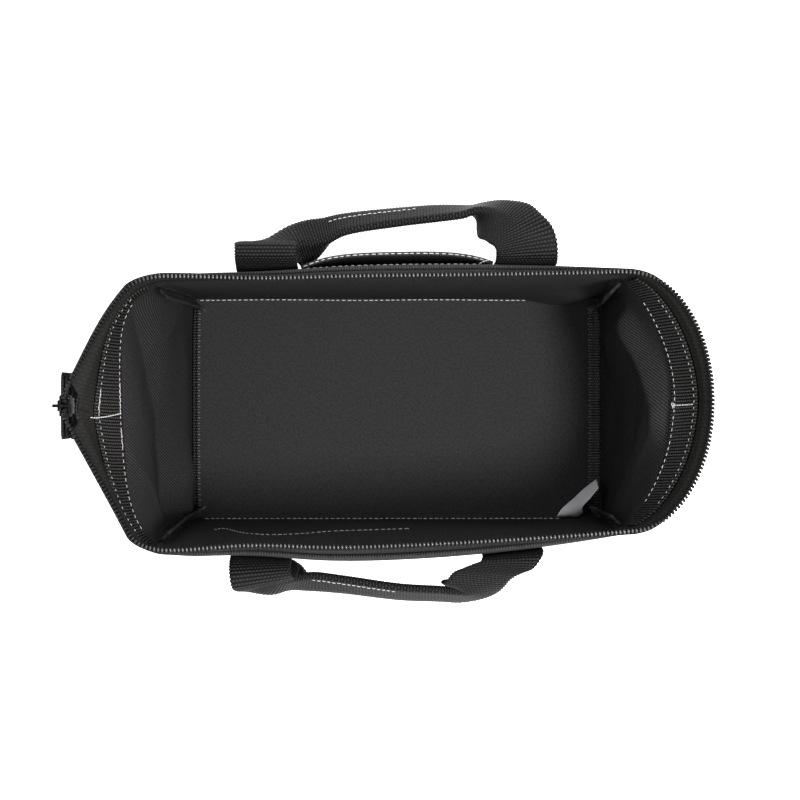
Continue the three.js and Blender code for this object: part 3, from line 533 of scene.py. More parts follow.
def woven(name, dark, light, weave, across, along, depth, roughness, streaks=0.5, painted_shade_height=None):
    """A woven stuff on its own UV map in metres, u across the threads and v along the piece.

    across and along are thread spacings and depth is the threads' relief, in millimetres. streaks is how far
    the shade wanders from thread to thread. The last argument, if given, is a height in millimetres: from 0.3
    of it up to it the colour is darkened and stays dark above, painted shade for the corners."""
    material, surface = blank(name)
    uv = shader(material, "UVMap")["UV"]
    turns = (2 * math.pi / (across * MM), 2 * math.pi / (along * MM), 0)
    turned = shader(material, "VectorMath", {0: uv, 1: turns}, operation="MULTIPLY")[0]
    made = dict(zip("uv", shader(material, "SeparateXYZ", {0: turned})))
    for step, operation, *terms in WEAVES[weave]:
        inputs = {i: made.get(term, term) for i, term in enumerate(terms)}
        made[step] = shader(material, "Math", inputs, operation=operation)[0]
    slubby = {"Vector": uv, "Scale": 1 / (SLUB * MM), "Detail": 3, "Roughness": 0.65}
    slub = shader(material, "TexNoise", slubby)["Fac"]
    wander = shader(material, "MapRange", {0: slub, 1: 0.3, 2: 0.7, 3: 1 - streaks, 4: 1 + streaks})[0]
    shade = shader(material, "Math", {0: made["height"], 1: wander}, operation="MULTIPLY")[0]
    # Painted shade: the colour is darkened with height, so the binding up the seam's corners looks shaded
    if painted_shade_height:
        place = shader(material, "TexCoord")["Object"]
        rise = shader(material, "SeparateXYZ", {0: place})["Z"]
        darkening = shader(material, "MapRange", {0: rise, 1: 0.3 * painted_shade_height * MM, 2: painted_shade_height * MM, 3: 1, 4: 0.08})[0]
        shade = shader(material, "Math", {0: shade, 1: darkening}, operation="MULTIPLY")[0]
    colour = shader(material, "Mix", {0: shade, 6: linear(dark), 7: linear(light)}, data_type="RGBA")[2]
    bump = shader(material, "Bump", {"Height": shade, "Strength": 0.8, "Distance": depth * MM})["Normal"]
    fill(material, surface, {"Base Color": colour, "Normal": bump, "Roughness": roughness,
                             "Specular IOR Level": CLOTH_SHINE})
    return material


def enamelled_zinc():
    """Cast zinc under black enamel: smooth and dark with a low shine, rubbed bright in a few flecks."""
    material, surface = blank("cast_zinc_black_enamel")
    place = shader(material, "TexCoord")["Object"]
    rub = shader(material, "TexNoise", {"Vector": place, "Scale": 1 / (FLECK * MM), "Detail": 4})[0]
    bare = shader(material, "MapRange", {0: rub, 1: 0.66, 2: 0.74})[0]
    gloss = shader(material, "MapRange", {0: rub, 3: 0.25, 4: 0.55})[0]
    shades = {0: bare, 6: linear("#0c0c0d"), 7: linear("#b9b9bd")}
    colour = shader(material, "Mix", shades, data_type="RGBA")[2]
    fill(material, surface, {"Base Color": colour, "Metallic": bare, "Roughness": gloss,
                             "Specular IOR Level": 0.05})
    return material


def nylon_coil():
    """Drawn nylon wire: black and shiny, so each loop catches a point of light, but dull at both ends."""
    material, surface = blank("drawn_nylon_black")
    place = shader(material, "TexCoord")["Object"]
    streak = shader(material, "TexNoise", {"Vector": place, "Scale": 1 / (STREAK * MM), "Detail": 2})[0]
    shades = {0: streak, 6: linear("#070708"), 7: linear("#161617")}
    colour = shader(material, "Mix", shades, data_type="RGBA")[2]
    x = shader(material, "SeparateXYZ", {0: place})["X"]
    away = shader(material, "Math", {0: x}, operation="ABSOLUTE")[0]
    rubbed = {0: away, 1: COIL_DULL[0] * MM, 2: COIL_DULL[1] * MM}
    gloss = shader(material, "MapRange", {**rubbed, 3: 0.26, 4: 0.5})[0]
    shine = shader(material, "MapRange", {**rubbed, 3: 1.0, 4: 0.12})[0]
    fill(material, surface, {"Base Color": colour, "Roughness": gloss, "IOR": 1.53,
                             "Specular IOR Level": shine})
    return material


def twisted_thread():
    """Bonded polyester thread, twisted from plies: off-white with a soft shine and a fine diagonal lay."""
    material, surface = blank("bonded_polyester_thread")
    place = shader(material, "TexCoord")["Object"]
    plies = {"Vector": place, "Scale": 2 * math.pi / (20 * PLY * MM), "Distortion": 1.0}
    lay = shader(material, "TexWave", plies)["Fac"]
    darkening = shader(material, "TexNoise", {"Vector": place, "Scale": 1 / (THREAD_DUST * MM)})["Fac"]
    mixed = shader(material, "Math", {0: lay, 1: darkening}, operation="MULTIPLY")[0]
    shades = {0: mixed, 6: linear("#9b9a98"), 7: linear("#d2d1cf")}
    colour = shader(material, "Mix", shades, data_type="RGBA")[2]
    bump = shader(material, "Bump", {"Height": lay, "Strength": 0.5, "Distance": 0.1 * MM})["Normal"]
    fill(material, surface, {"Base Color": colour, "Normal": bump, "Roughness": 0.55})
    return material


def seamless_paper():
    """Matt white studio paper with a barely seen grain, lit from below so that shadows on it stay faint."""
    material, surface = blank("seamless_paper_white")
    place = shader(material, "TexCoord")["Object"]
    grain = shader(material, "TexNoise", {"Vector": place, "Scale": 1 / (PAPER_GRAIN * MM)})["Fac"]
    shades = {0: grain, 6: linear("#f1f1f1"), 7: linear("#f6f6f6")}
    colour = shader(material, "Mix", shades, data_type="RGBA")[2]
    fill(material, surface, {"Base Color": colour, "Roughness": 0.9, "Emission Color": (1, 1, 1, 1),
                             "Emission Strength": PAPER_GLOW})
    return material


# Polyester canvas, woven in a twill: matt black with diagonal lines, drawn coarser than 1 mm apart to show
CANVAS_LOOK = woven("polyester_canvas_twill", "#1a191a", "#3a393a", "twill",
                    across=1.7, along=1.7, depth=0.1, roughness=0.85, streaks=0.55)
# The end walls are seen edge on, so the same twill is drawn steeper and coarser on them, or it would not show
END_LOOK = woven("polyester_canvas_twill_steep", "#171617", "#313031", "twill",
                 across=2.2, along=3.4, depth=0.1, roughness=0.85, streaks=0.6)
# The floor's canvas is laminated to a board, so it lies flatter than the walls
FLOOR_LOOK = woven("polyester_canvas_laminated", "#191819", "#343334", "twill",
                   across=1.7, along=1.7, depth=0.06, roughness=0.85)
# Polypropylene webbing, woven heavy: black rows of small beads with a low shine
WEBBING_LOOK = woven("polypropylene_webbing", "#030303", "#2b2a2a", "basket",
                     across=2.2, along=RIB_PITCH, depth=0.3, roughness=0.5)
# The bands' webbing is coarser: wider rows of beads, each picked out by the light
BAND_LOOK = woven("polypropylene_webbing_coarse", "#040404", "#444342", "basket",
                  across=1.7, along=BAND_PITCH, depth=0.5, roughness=0.55)
# Grosgrain binding tape: dull black with cross ribs, greyish along the floor and painted darker up the
# corners as shade
BINDING_LOOK = woven("grosgrain_binding", "#1c1c1c", "#5f5e5e", "basket",
                     across=1.9, along=RIB_PITCH, depth=0.3, roughness=0.7, painted_shade_height=60)
# Woven polyester zip tape: flat black with cross ribs as far apart as the coil's loops
TAPE_LOOK = woven("woven_zip_tape", "#181817", "#222120", "basket",
                  across=5.0, along=COIL_PITCH, depth=0.1, roughness=0.7)
# Woven satin label left blank: pale grey and smooth
LABEL_LOOK = woven("woven_satin_label", "#bdbcc1", "#c8c7cc", "twill",
                   across=0.9, along=0.9, depth=0.03, roughness=0.6, streaks=0.1)
COIL_LOOK = nylon_coil()
METAL_LOOK = enamelled_zinc()
THREAD_LOOK = twisted_thread()


# Making pieces


def fitted(made, body, nodes):
    """A finished object, riding on its body and in place of the solids that it dresses."""
    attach(made, body)
    if nodes:
        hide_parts(*nodes)
    return made


def piece(name, points, faces, material, slot, uv=None, nodes=()):
    """A mesh from points in millimetres, riding on the bag. uv is one pair in millimetres a point."""
    mesh = bpy.data.meshes.new(name)
    mesh.from_pydata((np.asarray(points, float) * MM).tolist(), [], [list(face) for face in faces])
    if uv is not None:
        layer = mesh.uv_layers.new(name="UVMap")
        corners = np.zeros(len(mesh.loops), np.int32)
        mesh.loops.foreach_get("vertex_index", corners)
        layer.data.foreach_set("uv", (np.asarray(uv, float)[corners] * MM).astype(np.float32).ravel())
    mesh.polygons.foreach_set("use_smooth", np.ones(len(mesh.polygons), bool))
    mesh.materials.append(material)
    mesh.update()
    made = bpy.data.objects.new(name, mesh)
    bpy.context.scene.collection.objects.link(made)
    return fitted(made, "bag", nodes)


def shell(name, front, back, uv, material, slot, nodes):
    """A piece between two grids of points, closed round its rim. front is the face the grid turns out."""
    rows, columns = front.shape[:2]
    layer = rows * columns
    i, j = np.meshgrid(np.arange(rows - 1), np.arange(columns - 1), indexing="ij")
    first = (i * columns + j).ravel()
    top = np.stack((first, first + 1, first + columns + 1, first + columns), -1)
    at = np.arange(layer).reshape(rows, columns)
    edge = np.concatenate((at[:, 0], at[-1, 1:], at[-2::-1, -1], at[0, -2:0:-1]))
    after = np.roll(edge, -1)
    rim = np.stack((edge, after, after + layer, edge + layer), -1)
    points = np.vstack((front.reshape(-1, 3), back.reshape(-1, 3)))
    faces = np.vstack((top, top[:, ::-1] + layer, rim))
    return piece(name, points, faces, material, slot, np.tile(uv.reshape(-1, 2), (2, 1)), nodes)


def closed_sheet(name, middle, facing, thick, material, slot, nodes, lengthwise=False):
    """A sheet with two faces, over a grid of points and directions. lengthwise runs the weave along it."""
    half = np.broadcast_to(np.asarray(thick, float) / 2, middle.shape[:2])[..., None]
    across = np.zeros(middle.shape[:2])
    across[:, 1:] = np.cumsum(np.linalg.norm(np.diff(middle, axis=1), axis=-1), axis=1)
    along = grid_run(middle)[:, None] + 0 * across
    uv = np.stack((across, along) if lengthwise else (along, across), -1)
    return shell(name, middle + facing * half, middle - facing * half, uv, material, slot, nodes)


def tube(path, radius, sides):
    """Points and faces of a round tube with closed ends. radius is one value or one a point of the path."""
    heading = unit(np.gradient(path, axis=0))
    side = unit(np.cross(heading, (0.31, 0.22, 0.93)))
    other = np.cross(heading, side)
    angle = np.arange(sides) * 2 * math.pi / sides
    thick = np.broadcast_to(radius, (len(path),))[:, None, None]
    ring = np.cos(angle)[None, :, None] * side[:, None] + np.sin(angle)[None, :, None] * other[:, None]
    points = (path[:, None] + ring * thick).reshape(-1, 3)
    base = np.arange(len(path) - 1) * sides
    faces = []
    for k in range(sides):
        after = (k + 1) % sides
        faces += np.stack((base + k, base + after, base + after + sides, base + k + sides), -1).tolist()
    around = np.arange(sides)
    caps = [around[::-1].tolist(), (around + (len(path) - 1) * sides).tolist()]
    return points, faces + caps


def joined(parts):
    """Several lists of points and faces as one."""
    points, faces, count = [], [], 0
    for part_points, part_faces in parts:
        points.append(part_points)
        faces += [[at + count for at in face] for face in part_faces]
        count += len(part_points)
    return np.vstack(points), faces


class Threads:
    """Stitches gathered into one piece, each a short raised bead of thread."""

    # The rings of a bead: where they lie from end to end, and how thick it is there
    PLACES = np.array((-1, -0.55, 0, 0.55, 1.0))
    THICKNESS = np.array((0.6, 0.95, 1, 0.95, 0.6))
    SIDES = 6
    # How high a bead stands and how deep its ends dip, in thread radii
    CREST = 0.75
    DIP = 1.15
    # How much the stitches differ in length, and how fast that changes along the line
    WANDER = 0.16
    WANDER_RATE = 12.9898

    def __init__(self, name):
        self.name, self.beads = name, []

    def add(self, start, end, normal, radius):
        t = self.PLACES[:, None]
        lift = radius * (self.CREST - self.DIP * t**4)
        path = lerp(start, end, (t + 1) / 2) + normal * lift
        self.beads.append(tube(path, radius * self.THICKNESS, self.SIDES))

    def line(self, path, normals, kind="plain"):
        """Stitches along a path that lies on a surface, each a little longer or shorter than the next."""
        pitch, length, radius = SEWING[kind]
        rows = np.hstack((path, normals))
        run = run_length(rows)
        for place in np.arange(0, run[-1] - length, pitch):
            reach = length * (1 + self.WANDER * math.sin(place * self.WANDER_RATE))
            ends = sampled(rows, run, (place, place + reach))
            self.add(*ends[:, :3], unit(ends[0, 3:] + ends[1, 3:]), radius)

    def sewn(self, slot):
        return piece(self.name, *joined(self.beads), THREAD_LOOK, slot)


# Floor


def floor_panel():
    """The floor: a board under canvas, with the slight hollows that use leaves in it."""
    columns, rows = GRIDS["floor"]
    half = np.array((BASE_LENGTH, BASE_WIDTH)) / 2
    x, y = np.meshgrid(np.linspace(-1, 1, columns) * half[0],
                       np.linspace(-1, 1, rows) * half[1], indexing="ij")
    inner = half - BASE_CORNER
    dx, dy = np.abs(x) - inner[0], np.abs(y) - inner[1]
    corner = (dx > 0) & (dy > 0)
    keep = np.where(corner, np.maximum(dx, dy) / np.maximum(np.hypot(dx, dy), 1e-6), 1)
    x = np.where(corner, np.sign(x) * (inner[0] + dx * keep), x)
    y = np.where(corner, np.sign(y) * (inner[1] + dy * keep), y)
    inside = (1 - (x / half[0]) ** 6) * (1 - (y / half[1]) ** 6)
    hollow = FLOOR_SAG * np.sin(x / 41 + 0.6) * np.cos(y / 33 - 0.4)
    ripple = FLOOR_RIPPLE * np.sin(x / 17 - y / 23)
    thick = BASE_THICK - FLOOR_SAG + inside * (hollow + ripple)
    middle = np.stack((x, y, thick / 2), -1)[:, ::-1]
    up = np.broadcast_to(UP, middle.shape)
    return closed_sheet("floor_panel", middle, up, thick[:, ::-1], FLOOR_LOOK, "canvas", ("base_panel",))


# Walls


def wall(name, node, start, end, corners):
    """One wall of canvas. Those with corners turn them and lap round to the end walls."""
    slack = 0.0012
    columns, rows = GRIDS["long_wall" if corners else "end_wall"]
    if corners:
        turn = np.linspace(-SEAM_LAP + slack, -0.004, 10)
        laps = np.concatenate((start + turn, np.linspace(start, end, columns), end - turn[::-1]))
    else:
        laps = np.linspace(start + SEAM_LAP + slack, end - SEAM_LAP - slack, columns)
    lap, share = np.meshgrid(laps, np.linspace(0, WALL_TOP, rows), indexing="ij")
    look = CANVAS_LOOK if corners else END_LOOK
    return closed_sheet(name, cloth(lap, share), outward(lap, share), CANVAS, look, "canvas", (node,))


# Straps


def flat_rows(middle, across):
    """Rows of a strap that lies flat: its middle, and the way each half points."""
    across = unit(np.broadcast_to(across, middle.shape))
    return np.concatenate((middle, -across, across), -1)


def swung(start, end, share):
    """A direction swung a share of the way from one to another."""
    cosine = np.clip(np.sum(start * end, -1, keepdims=True), -1, 1)
    angle = np.arccos(cosine)
    whole = np.maximum(np.sin(angle), 1e-6)
    mixed = (np.sin((1 - share) * angle) * start + np.sin(share * angle) * end) / whole
    return unit(np.where(angle < 1e-3, end, mixed))


def strap_shape(rows, width, thick, relief=RIB_RELIEF, columns=21, step=0.5, groove=0.0):
    """Both faces of a strap with raised cross ribs and scalloped edges.

    Each row holds the strap's crest and the way its two halves point from there, so that a strap folded along
    its middle has both halves pointing alike."""
    rows = np.asarray(rows, float)
    lines = [rows[:, :3] + reach * width / 2 for reach in (0, rows[:, 3:6], rows[:, 6:9])]
    length = grid_run(np.stack(lines, 1))
    run = np.linspace(0, length[-1], int(length[-1] / step) + 2)
    rows = sampled(rows, length, run)
    crest, less, more = rows[:, None, :3], unit(rows[:, None, 3:6]), unit(rows[:, None, 6:9])
    over = unit(more - less)
    place = np.linspace(-1, 1, columns) * width / 2
    halfway = (place[1:] + place[:-1]) / 2
    bend = np.clip(halfway / BEND, -1, 1)[None, :, None]
    along = np.where(bend < 0, swung(over, -less, -bend), swung(over, more, bend))
    walk = np.cumsum(along * np.diff(place)[None, :, None], 1)
    surface = np.concatenate((np.zeros_like(walk[:, :1]), walk), 1)
    surface = crest + surface - surface[:, columns // 2 : columns // 2 + 1]
    sideways = unit(np.gradient(surface, axis=1))
    normal = unit(np.cross(np.gradient(surface, axis=0), sideways))
    ribs = np.cos(run * 2 * math.pi / RIB_PITCH)[:, None]
    edge = (np.abs(place) / (width / 2))[None] ** 12
    surface = surface + sideways * (np.sign(place)[None] * edge * ribs * relief * SCALLOP)[..., None]
    sunk = groove * np.exp(-((place / GROOVE_HALF) ** 2))
    half = (thick / 2 + relief * ribs - sunk) * np.sqrt(1 - EDGE_THIN * edge)
    return {"front": surface + normal * half[..., None], "back": surface - normal * half[..., None],
            "normal": normal, "run": run, "place": place}


def strap(name, shape, material, slot, node):
    """A piece from a strap's shape, closed round its edges and ends."""
    uv = np.stack(np.broadcast_arrays(shape["place"][None], shape["run"][:, None]), -1)
    return shell(name, shape["back"], shape["front"], uv, material, slot, (node,))


# Bindings and bands


def binding(name, node, first, last, slope, reach):
    """The bound seam: down one corner, across the floor and up the other corner.

    Along the floor it tilts by slope, and its middle lies reach out from the seam."""

    def station(place, inward, off, tilt, out):
        inward = unit(inward)
        across = inward * math.cos(tilt) + UP * math.sin(tilt)
        return flat_rows(place + inward * (CANVAS / 2 + off) + across * out, across)

    def in_corner(lap, share):
        place = cloth(lap, share)
        inward = np.array((-np.sign(place[0]), -np.sign(place[1]), 0.0))
        return station(place, inward, BINDING_OFF_CORNER, 0, BINDING_WIDTH / 2)

    def on_floor(lap, share=0.012):
        inward = -outward(lap, share) * (1, 1, 0)
        return station(cloth(lap, share), inward, BINDING_OFF_FLOOR, slope, reach)

    heights = (0.775, 0.66, 0.54, 0.42, 0.3, 0.18, 0.09, 0.045)
    start, end = first + SEAM_LAP, last - SEAM_LAP
    stations = [in_corner(start, share) for share in heights]
    stations += [on_floor(lap) for lap in np.linspace(start + 0.06, end - 0.06, 11)]
    stations += [in_corner(end, share) for share in heights[::-1]]
    shape = strap_shape(spline(stations, 24), BINDING_WIDTH, BINDING, columns=13, groove=BINDING_GROOVE)
    return strap(name, shape, BINDING_LOOK, "binding", node)


def band(name, node, first, last):
    """Webbing round the inside of one end."""
    inside = -(CANVAS / 2 + GAP + BAND / 2 + BAND_ROOM)
    columns, rows = GRIDS["band"]
    laps = np.linspace(first + SEAM_LAP + 0.02, last - SEAM_LAP - 0.02, columns)
    lap, width = np.meshgrid(laps, np.linspace(-1, 1, rows), indexing="ij")
    share = lerp(BAND_FOOT, BAND_TOP, (width + 1) / 2)
    middle = on_cloth(lap, share, np.full(lap.shape, inside))
    ribs = np.cos(grid_run(middle) * 2 * math.pi / BAND_PITCH)[:, None]
    thick = (BAND + 3 * RIB_RELIEF * ribs) * np.sqrt(1 - EDGE_THIN * np.abs(width) ** 10)
    facing = outward(lap, share)
    return closed_sheet(name, middle, facing, thick, BAND_LOOK, "webbing", (node,), lengthwise=True)


# Zip


def tape_middle(lap, step):
    """The zip tape's middle: inside the hem, loose along the long walls, and up to the coil at its top.

    It stands behind the coil on the left end and the long walls, and in front of it on the right end."""
    turned = np.mod(lap, 4)
    long_side = np.where(np.floor(turned) % 2 == 0, np.sin(np.mod(turned, 1) * math.pi), 0)
    trim = smoothstep(np.abs(turned - 3.5), *TAPE_CUT)
    share = lerp(TAPE_FOOT, lerp(WALL_TOP, 1, trim), step)
    inside = CANVAS / 2 + GAP + TAPE / 2 + TAPE_ROOM
    under = 1 - smoothstep(share, *TAPE_TUCK)
    loose = 1 - smoothstep(share, TAPE_FOOT, WALL_TOP)
    right_end = smoothstep(np.abs(turned - 1.5), *TAPE_FRONT)
    behind = lerp(TAPE_BEHIND, TAPE_BEFORE, right_end) * smoothstep(share, TAPE_TUCK[1], 1)
    return on_cloth(lap, share, -inside * under - TAPE_HANG * loose * long_side + behind)


def zip_tape(name, node, first, last):
    """One half of the tape round the mouth, with a ribbed strip low on it along the long walls."""
    columns, rows = GRIDS["tape"]
    lap, step = np.meshgrid(np.linspace(first, last, columns), np.linspace(0, 1, rows), indexing="ij")
    middle = tape_middle(lap, step)
    facing = unit(np.cross(np.gradient(middle, axis=1), np.gradient(middle, axis=0)))
    long_side = smoothstep(np.abs(np.mod(lap, 2) - 0.5), *STRIP_NEAR)
    ribbed = smoothstep(step, *STRIP_RISE) * (1 - smoothstep(step, *STRIP_FADE)) * long_side
    ribs = (0.5 + 0.5 * np.cos(grid_run(middle) * 2 * math.pi / COIL_PITCH))[:, None] * ribbed
    thick = TAPE + TAPE_RIB * ribs
    return closed_sheet(name, middle, facing, thick, TAPE_LOOK, "zip_tape", (node,), lengthwise=True)


def helix(path, pitch, radius, wire, lean=0.0, per_turn=14, sides=6):
    """A wire wound round a path: square across on top, with a thick head at lean, and moving on below."""
    run = run_length(path)
    angle = np.linspace(0, 2 * math.pi * run[-1] / pitch, int(run[-1] / pitch * per_turn))
    places = pitch * (angle - COIL_STALL * np.sin(angle)) / (2 * math.pi)
    rows = sampled(path, run, places)
    heading = unit(sampled(np.gradient(path, run, axis=0), run, places))
    up = unit(UP - heading * heading[:, 2:3])
    side = np.cross(heading, up)
    wound = rows + radius * (np.cos(angle)[:, None] * up + np.sin(angle)[:, None] * side)
    head = np.interp(places, run, np.broadcast_to(lean, run.shape))
    return tube(wound, wire * (COIL_BODY + COIL_HEAD * np.cos(angle - head)), sides)


def zip_coil(name, node, laps, sign):
    """One row of the zip: a nylon wire wound round the tape's edge, heads inward but for the right end."""
    lane = NECK_WIDTH / 2 + COIL_RADIUS + COIL_ROOM
    mouth = [(SLIDER_X - back, SLIDER_Y + sign * (lane + out), SLIDER_TOP + rise)
             for back, out, rise in COIL_MOUTH]
    path = evenly(spline(np.vstack((mouth, cloth(laps, np.ones(len(laps))))), 12), 0.5)
    inward = COIL_LEAN - COIL_SWING * smoothstep(path[:, 0], *COIL_TURN)
    points, faces = helix(path, COIL_PITCH, COIL_RING, COIL_WIRE, sign * inward)
    return piece(name, points, faces, COIL_LOOK, "zip_coil", nodes=(node,))


def end_tab():
    """The tab on the zip's closed end: webbing folded up round it, with cut ends."""
    tail_top = SLIDER_TOP - SLIDER_HEIGHT - GAP
    radius = TAIL_HALF + GAP + TAB_THICK / 2
    high, low = tail_top - TAB_SHORT, tail_top - TAB_HEIGHT + radius + TAB_THICK / 2
    turn = np.linspace(math.pi, 2 * math.pi, 9)
    bottom = [(TAB_X + radius * math.cos(t), low + radius * math.sin(t)) for t in turn]
    places = [(TAB_X - radius, high), *bottom, (TAB_X + radius, high)]
    rows = flat_rows(np.array([(x, SLIDER_Y, z) for x, z in places], float), (0.0, 1.0, 0.0))
    shape = strap_shape(spline(rows, 12), TAB_WIDTH, TAB_THICK)
    return strap("folded_tab", shape, WEBBING_LOOK, "webbing", "zip_end_tab")


def zip_tail():
    """The closed end of the zip below the slider: two tapes side by side and the joined coils."""
    top = SLIDER_TOP - SLIDER_HEIGHT - GAP
    ends = np.array([(TAB_X, SLIDER_Y, z) for z in (top, top - TAIL_LENGTH)])
    shape = strap_shape(flat_rows(ends, (0.0, 1.0, 0.0)), TAIL_WIDTH, TAIL_TAPE, columns=15)
    tape = strap("zip_tail_tape", shape, TAPE_LOOK, "zip_tape", "zip_tail")
    wires = []
    for lane in (-TAIL_LANE, TAIL_LANE):
        path = np.array([(TAB_X, SLIDER_Y + lane, z) for z in np.linspace(top, top - TAIL_LENGTH, 30)])
        wires.append(helix(path, COIL_PITCH, TAIL_RING, COIL_WIRE))
    coil = piece("zip_tail_coil", *joined(wires), COIL_LOOK, "zip_coil")
    return tape, coil


# Handles and label


def handle_shape(wall_side, sign, left, right, loose):
    """One handle: a leg up the wall, the loose strap, the folded grip, the loose strap and the other leg."""
    out = CANVAS / 2 + GAP + STRAP_ROOM + STRAP / 2

    def leg(x, facing):
        stations = []
        for share in LEG_SHARES:
            lap = lap_at(wall_side, x, share)
            across = unit(cloth(lap + 0.05, share) - cloth(lap - 0.05, share)) * facing * sign
            stations.append(np.concatenate((on_cloth(lap, share, np.array(out)), -across, across)))
        return stations

    def pointing(turn, dip):
        turn, dip = math.radians(turn), math.radians(dip)
        return math.cos(turn) * math.cos(dip), sign * math.sin(turn) * math.cos(dip), -math.sin(dip)

    stations = leg(left, 1)
    for x, away, z, *ways in loose:
        stations.append(np.array((x, sign * away, z, *pointing(*ways[:2]), *pointing(*ways[2:])), float))
    stations += leg(right, -1)[::-1]
    return strap_shape(spline(stations, 30), STRAP_WIDTH, STRAP)


def care_label():
    """The blank label: a ribbon that stands up out of its seam and twists."""
    rows = []
    for x, away, z, turn, lean in LABEL_ROWS:
        swing, tilt = math.radians(turn), math.radians(lean)
        across = (math.cos(swing), math.sin(tilt) * math.sin(swing), math.cos(tilt) * math.sin(swing))
        rows.append(flat_rows(np.array((x, -away, z), float), np.array(across)))
    shape = strap_shape(spline(rows, 20), LABEL_WIDTH, LABEL, relief=0.0, columns=17, step=1.0)
    return strap("blank_label", shape, LABEL_LOOK, "label", "care_label")


# Pocket


def pocket_point(along, share):
    """Points on the pocket's middle: flat on the wall at its foot and sides, and gaping at its top."""
    rise = smoothstep(share, POCKET_FOOT, 0.7)
    out = CANVAS / 2 + GAP + POCKET_ROOM + POCKET_CLOTH / 2 + POCKET_GAPE * (1 - along**4) * rise
    return on_cloth(lap_at(FAR, along * POCKET_HALF, share), share, out)


def pocket():
    """The patch pocket, with a folded hem along its top."""
    columns, rows = GRIDS["pocket"]
    rise = np.linspace(POCKET_FOOT, POCKET_TOP, rows)
    along, share = np.meshgrid(np.linspace(-1, 1, columns), rise, indexing="ij")
    middle = pocket_point(along, share)
    facing = unit(np.cross(np.gradient(middle, axis=1), np.gradient(middle, axis=0)))
    hem_foot = POCKET_TOP - POCKET_HEM
    thick = POCKET_CLOTH * (1 + 0.45 * smoothstep(share, hem_foot - 0.002, hem_foot + 0.002))
    return closed_sheet("patch_pocket", middle, facing, thick, CANVAS_LOOK, "canvas", ("pocket_far",))


# Slider and pull


def cast_copy(name, node, rounding, body):
    """A cast piece in the shape of its solid, with its edges rounded off."""
    merge, flat, edge, smooth = 0.004 * MM, math.radians(1), math.radians(35), math.radians(40)
    made = bpy.data.objects.new(name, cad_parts[node].data.copy())
    bpy.context.scene.collection.objects.link(made)
    made.data.materials.clear()
    made.data.materials.append(METAL_LOOK)
    bpy.ops.object.select_all(action="DESELECT")
    made.select_set(True)
    bpy.context.view_layer.objects.active = made
    bpy.ops.object.mode_set(mode="EDIT")
    bpy.ops.mesh.select_all(action="SELECT")
    bpy.ops.mesh.remove_doubles(threshold=merge)
    bpy.ops.mesh.dissolve_limited(angle_limit=flat)
    bpy.ops.object.mode_set(mode="OBJECT")
    bevel = made.modifiers.new("cast_edges", "BEVEL")
    bevel.width, bevel.segments = rounding * MM, 2
    bevel.limit_method, bevel.angle_limit = "ANGLE", edge
    bpy.ops.object.modifier_apply(modifier="cast_edges")
    bpy.ops.object.shade_smooth_by_angle(angle=smooth)
    made.select_set(False)
    return fitted(made, body, (node,))


# Stitches


def on_wall(side, x, share, out):
    """Points on a long wall at x and share, out from its middle, with the directions out of it."""
    x, share = np.broadcast_arrays(np.asarray(x, float), np.asarray(share, float))
    lap = lap_at(side, x, share)
    return on_cloth(lap, share, np.full(lap.shape, out)), outward(lap, share)


def floor_stitches():
    """The lines that hold the floor to the long walls."""
    thread = Threads("stitches_floor")
    x = np.linspace(*FLOOR_SEAM_FAR, 120)
    wander = 0.25 * np.sin(x / 19)
    far = np.stack((x, FLOOR_SEAM_OUT + wander, np.full(len(x), BASE_THICK - GAP)), -1)
    thread.line(far, np.broadcast_to(UP, far.shape))
    near, out = on_wall(NEAR, np.linspace(*FLOOR_SEAM_NEAR, 120), 0.016, -CANVAS / 2 - 0.1)
    thread.line(near, unit(UP - out))
    return thread.sewn("canvas")


def wall_stitches():
    """The line on the inside of the near wall, where the handle is sewn on."""
    thread = Threads("stitches_wall_near")
    x, share = spline(WALL_SEAM, 12).T
    path, out = on_wall(NEAR, x, share, -CANVAS / 2 - 0.05)
    thread.line(path, -out, "wall")
    return thread.sewn("canvas")


def pocket_stitches():
    """The pocket's hem, the line on the wall behind it and the hook that ends them."""
    thread = Threads("stitches_pocket")
    along = np.linspace(*POCKET_SEAM, 90)
    hem = pocket_point(along, np.full(len(along), POCKET_TOP))
    thread.line(hem, np.broadcast_to(UP, hem.shape))
    path, out = on_wall(FAR, np.linspace(*POCKET_WALL_SEAM, 80), POCKET_TOP + 0.012, CANVAS / 2 + 0.1)
    thread.line(path, unit(out + 0.9 * UP))
    turns = (hem[-1], hem[-1] + (2.6, 0.2, 0.1), path[-1] + (4.4, 2.2, 0.3), path[-1] + (1.2, 0.3, 0))
    hook = spline(turns, 8)
    thread.line(hook, np.broadcast_to(UP, hook.shape), "hook")
    return thread.sewn("canvas")


def band_stitches(name, first, start, end, bar, bar_top, tilt, doubled):
    """Both edges of one end's webbing, the bar across its middle and the doubled stitches beside it."""
    thread = Threads(name)
    inside = -(CANVAS / 2 + GAP + BAND + BAND_ROOM + RIB_RELIEF)

    def seam(laps, shares, kind, lift=0.0):
        laps, shares = np.broadcast_arrays(laps, shares)
        path = on_cloth(laps, shares, np.full(laps.shape, inside - lift))
        thread.line(path, -outward(laps, shares), kind)

    for share, kind in ((BAND_SEAM_FOOT, "band_foot"), (BAND_SEAM_TOP, "band_top")):
        seam(np.linspace(first + start, first + end, 160), share, kind)
    for share, begin, stop in doubled:
        wander = share + 0.0025 * np.sin(np.arange(24) * 1.7)
        seam(np.linspace(first + begin, first + stop, 24), wander, "doubled", 0.1)
    shares = np.linspace(BAND_FOOT + 0.01, bar_top, 40)
    seam(first + bar + np.linspace(tilt, -tilt, 40), shares, "bar", 0.15)
    return thread.sewn("webbing")


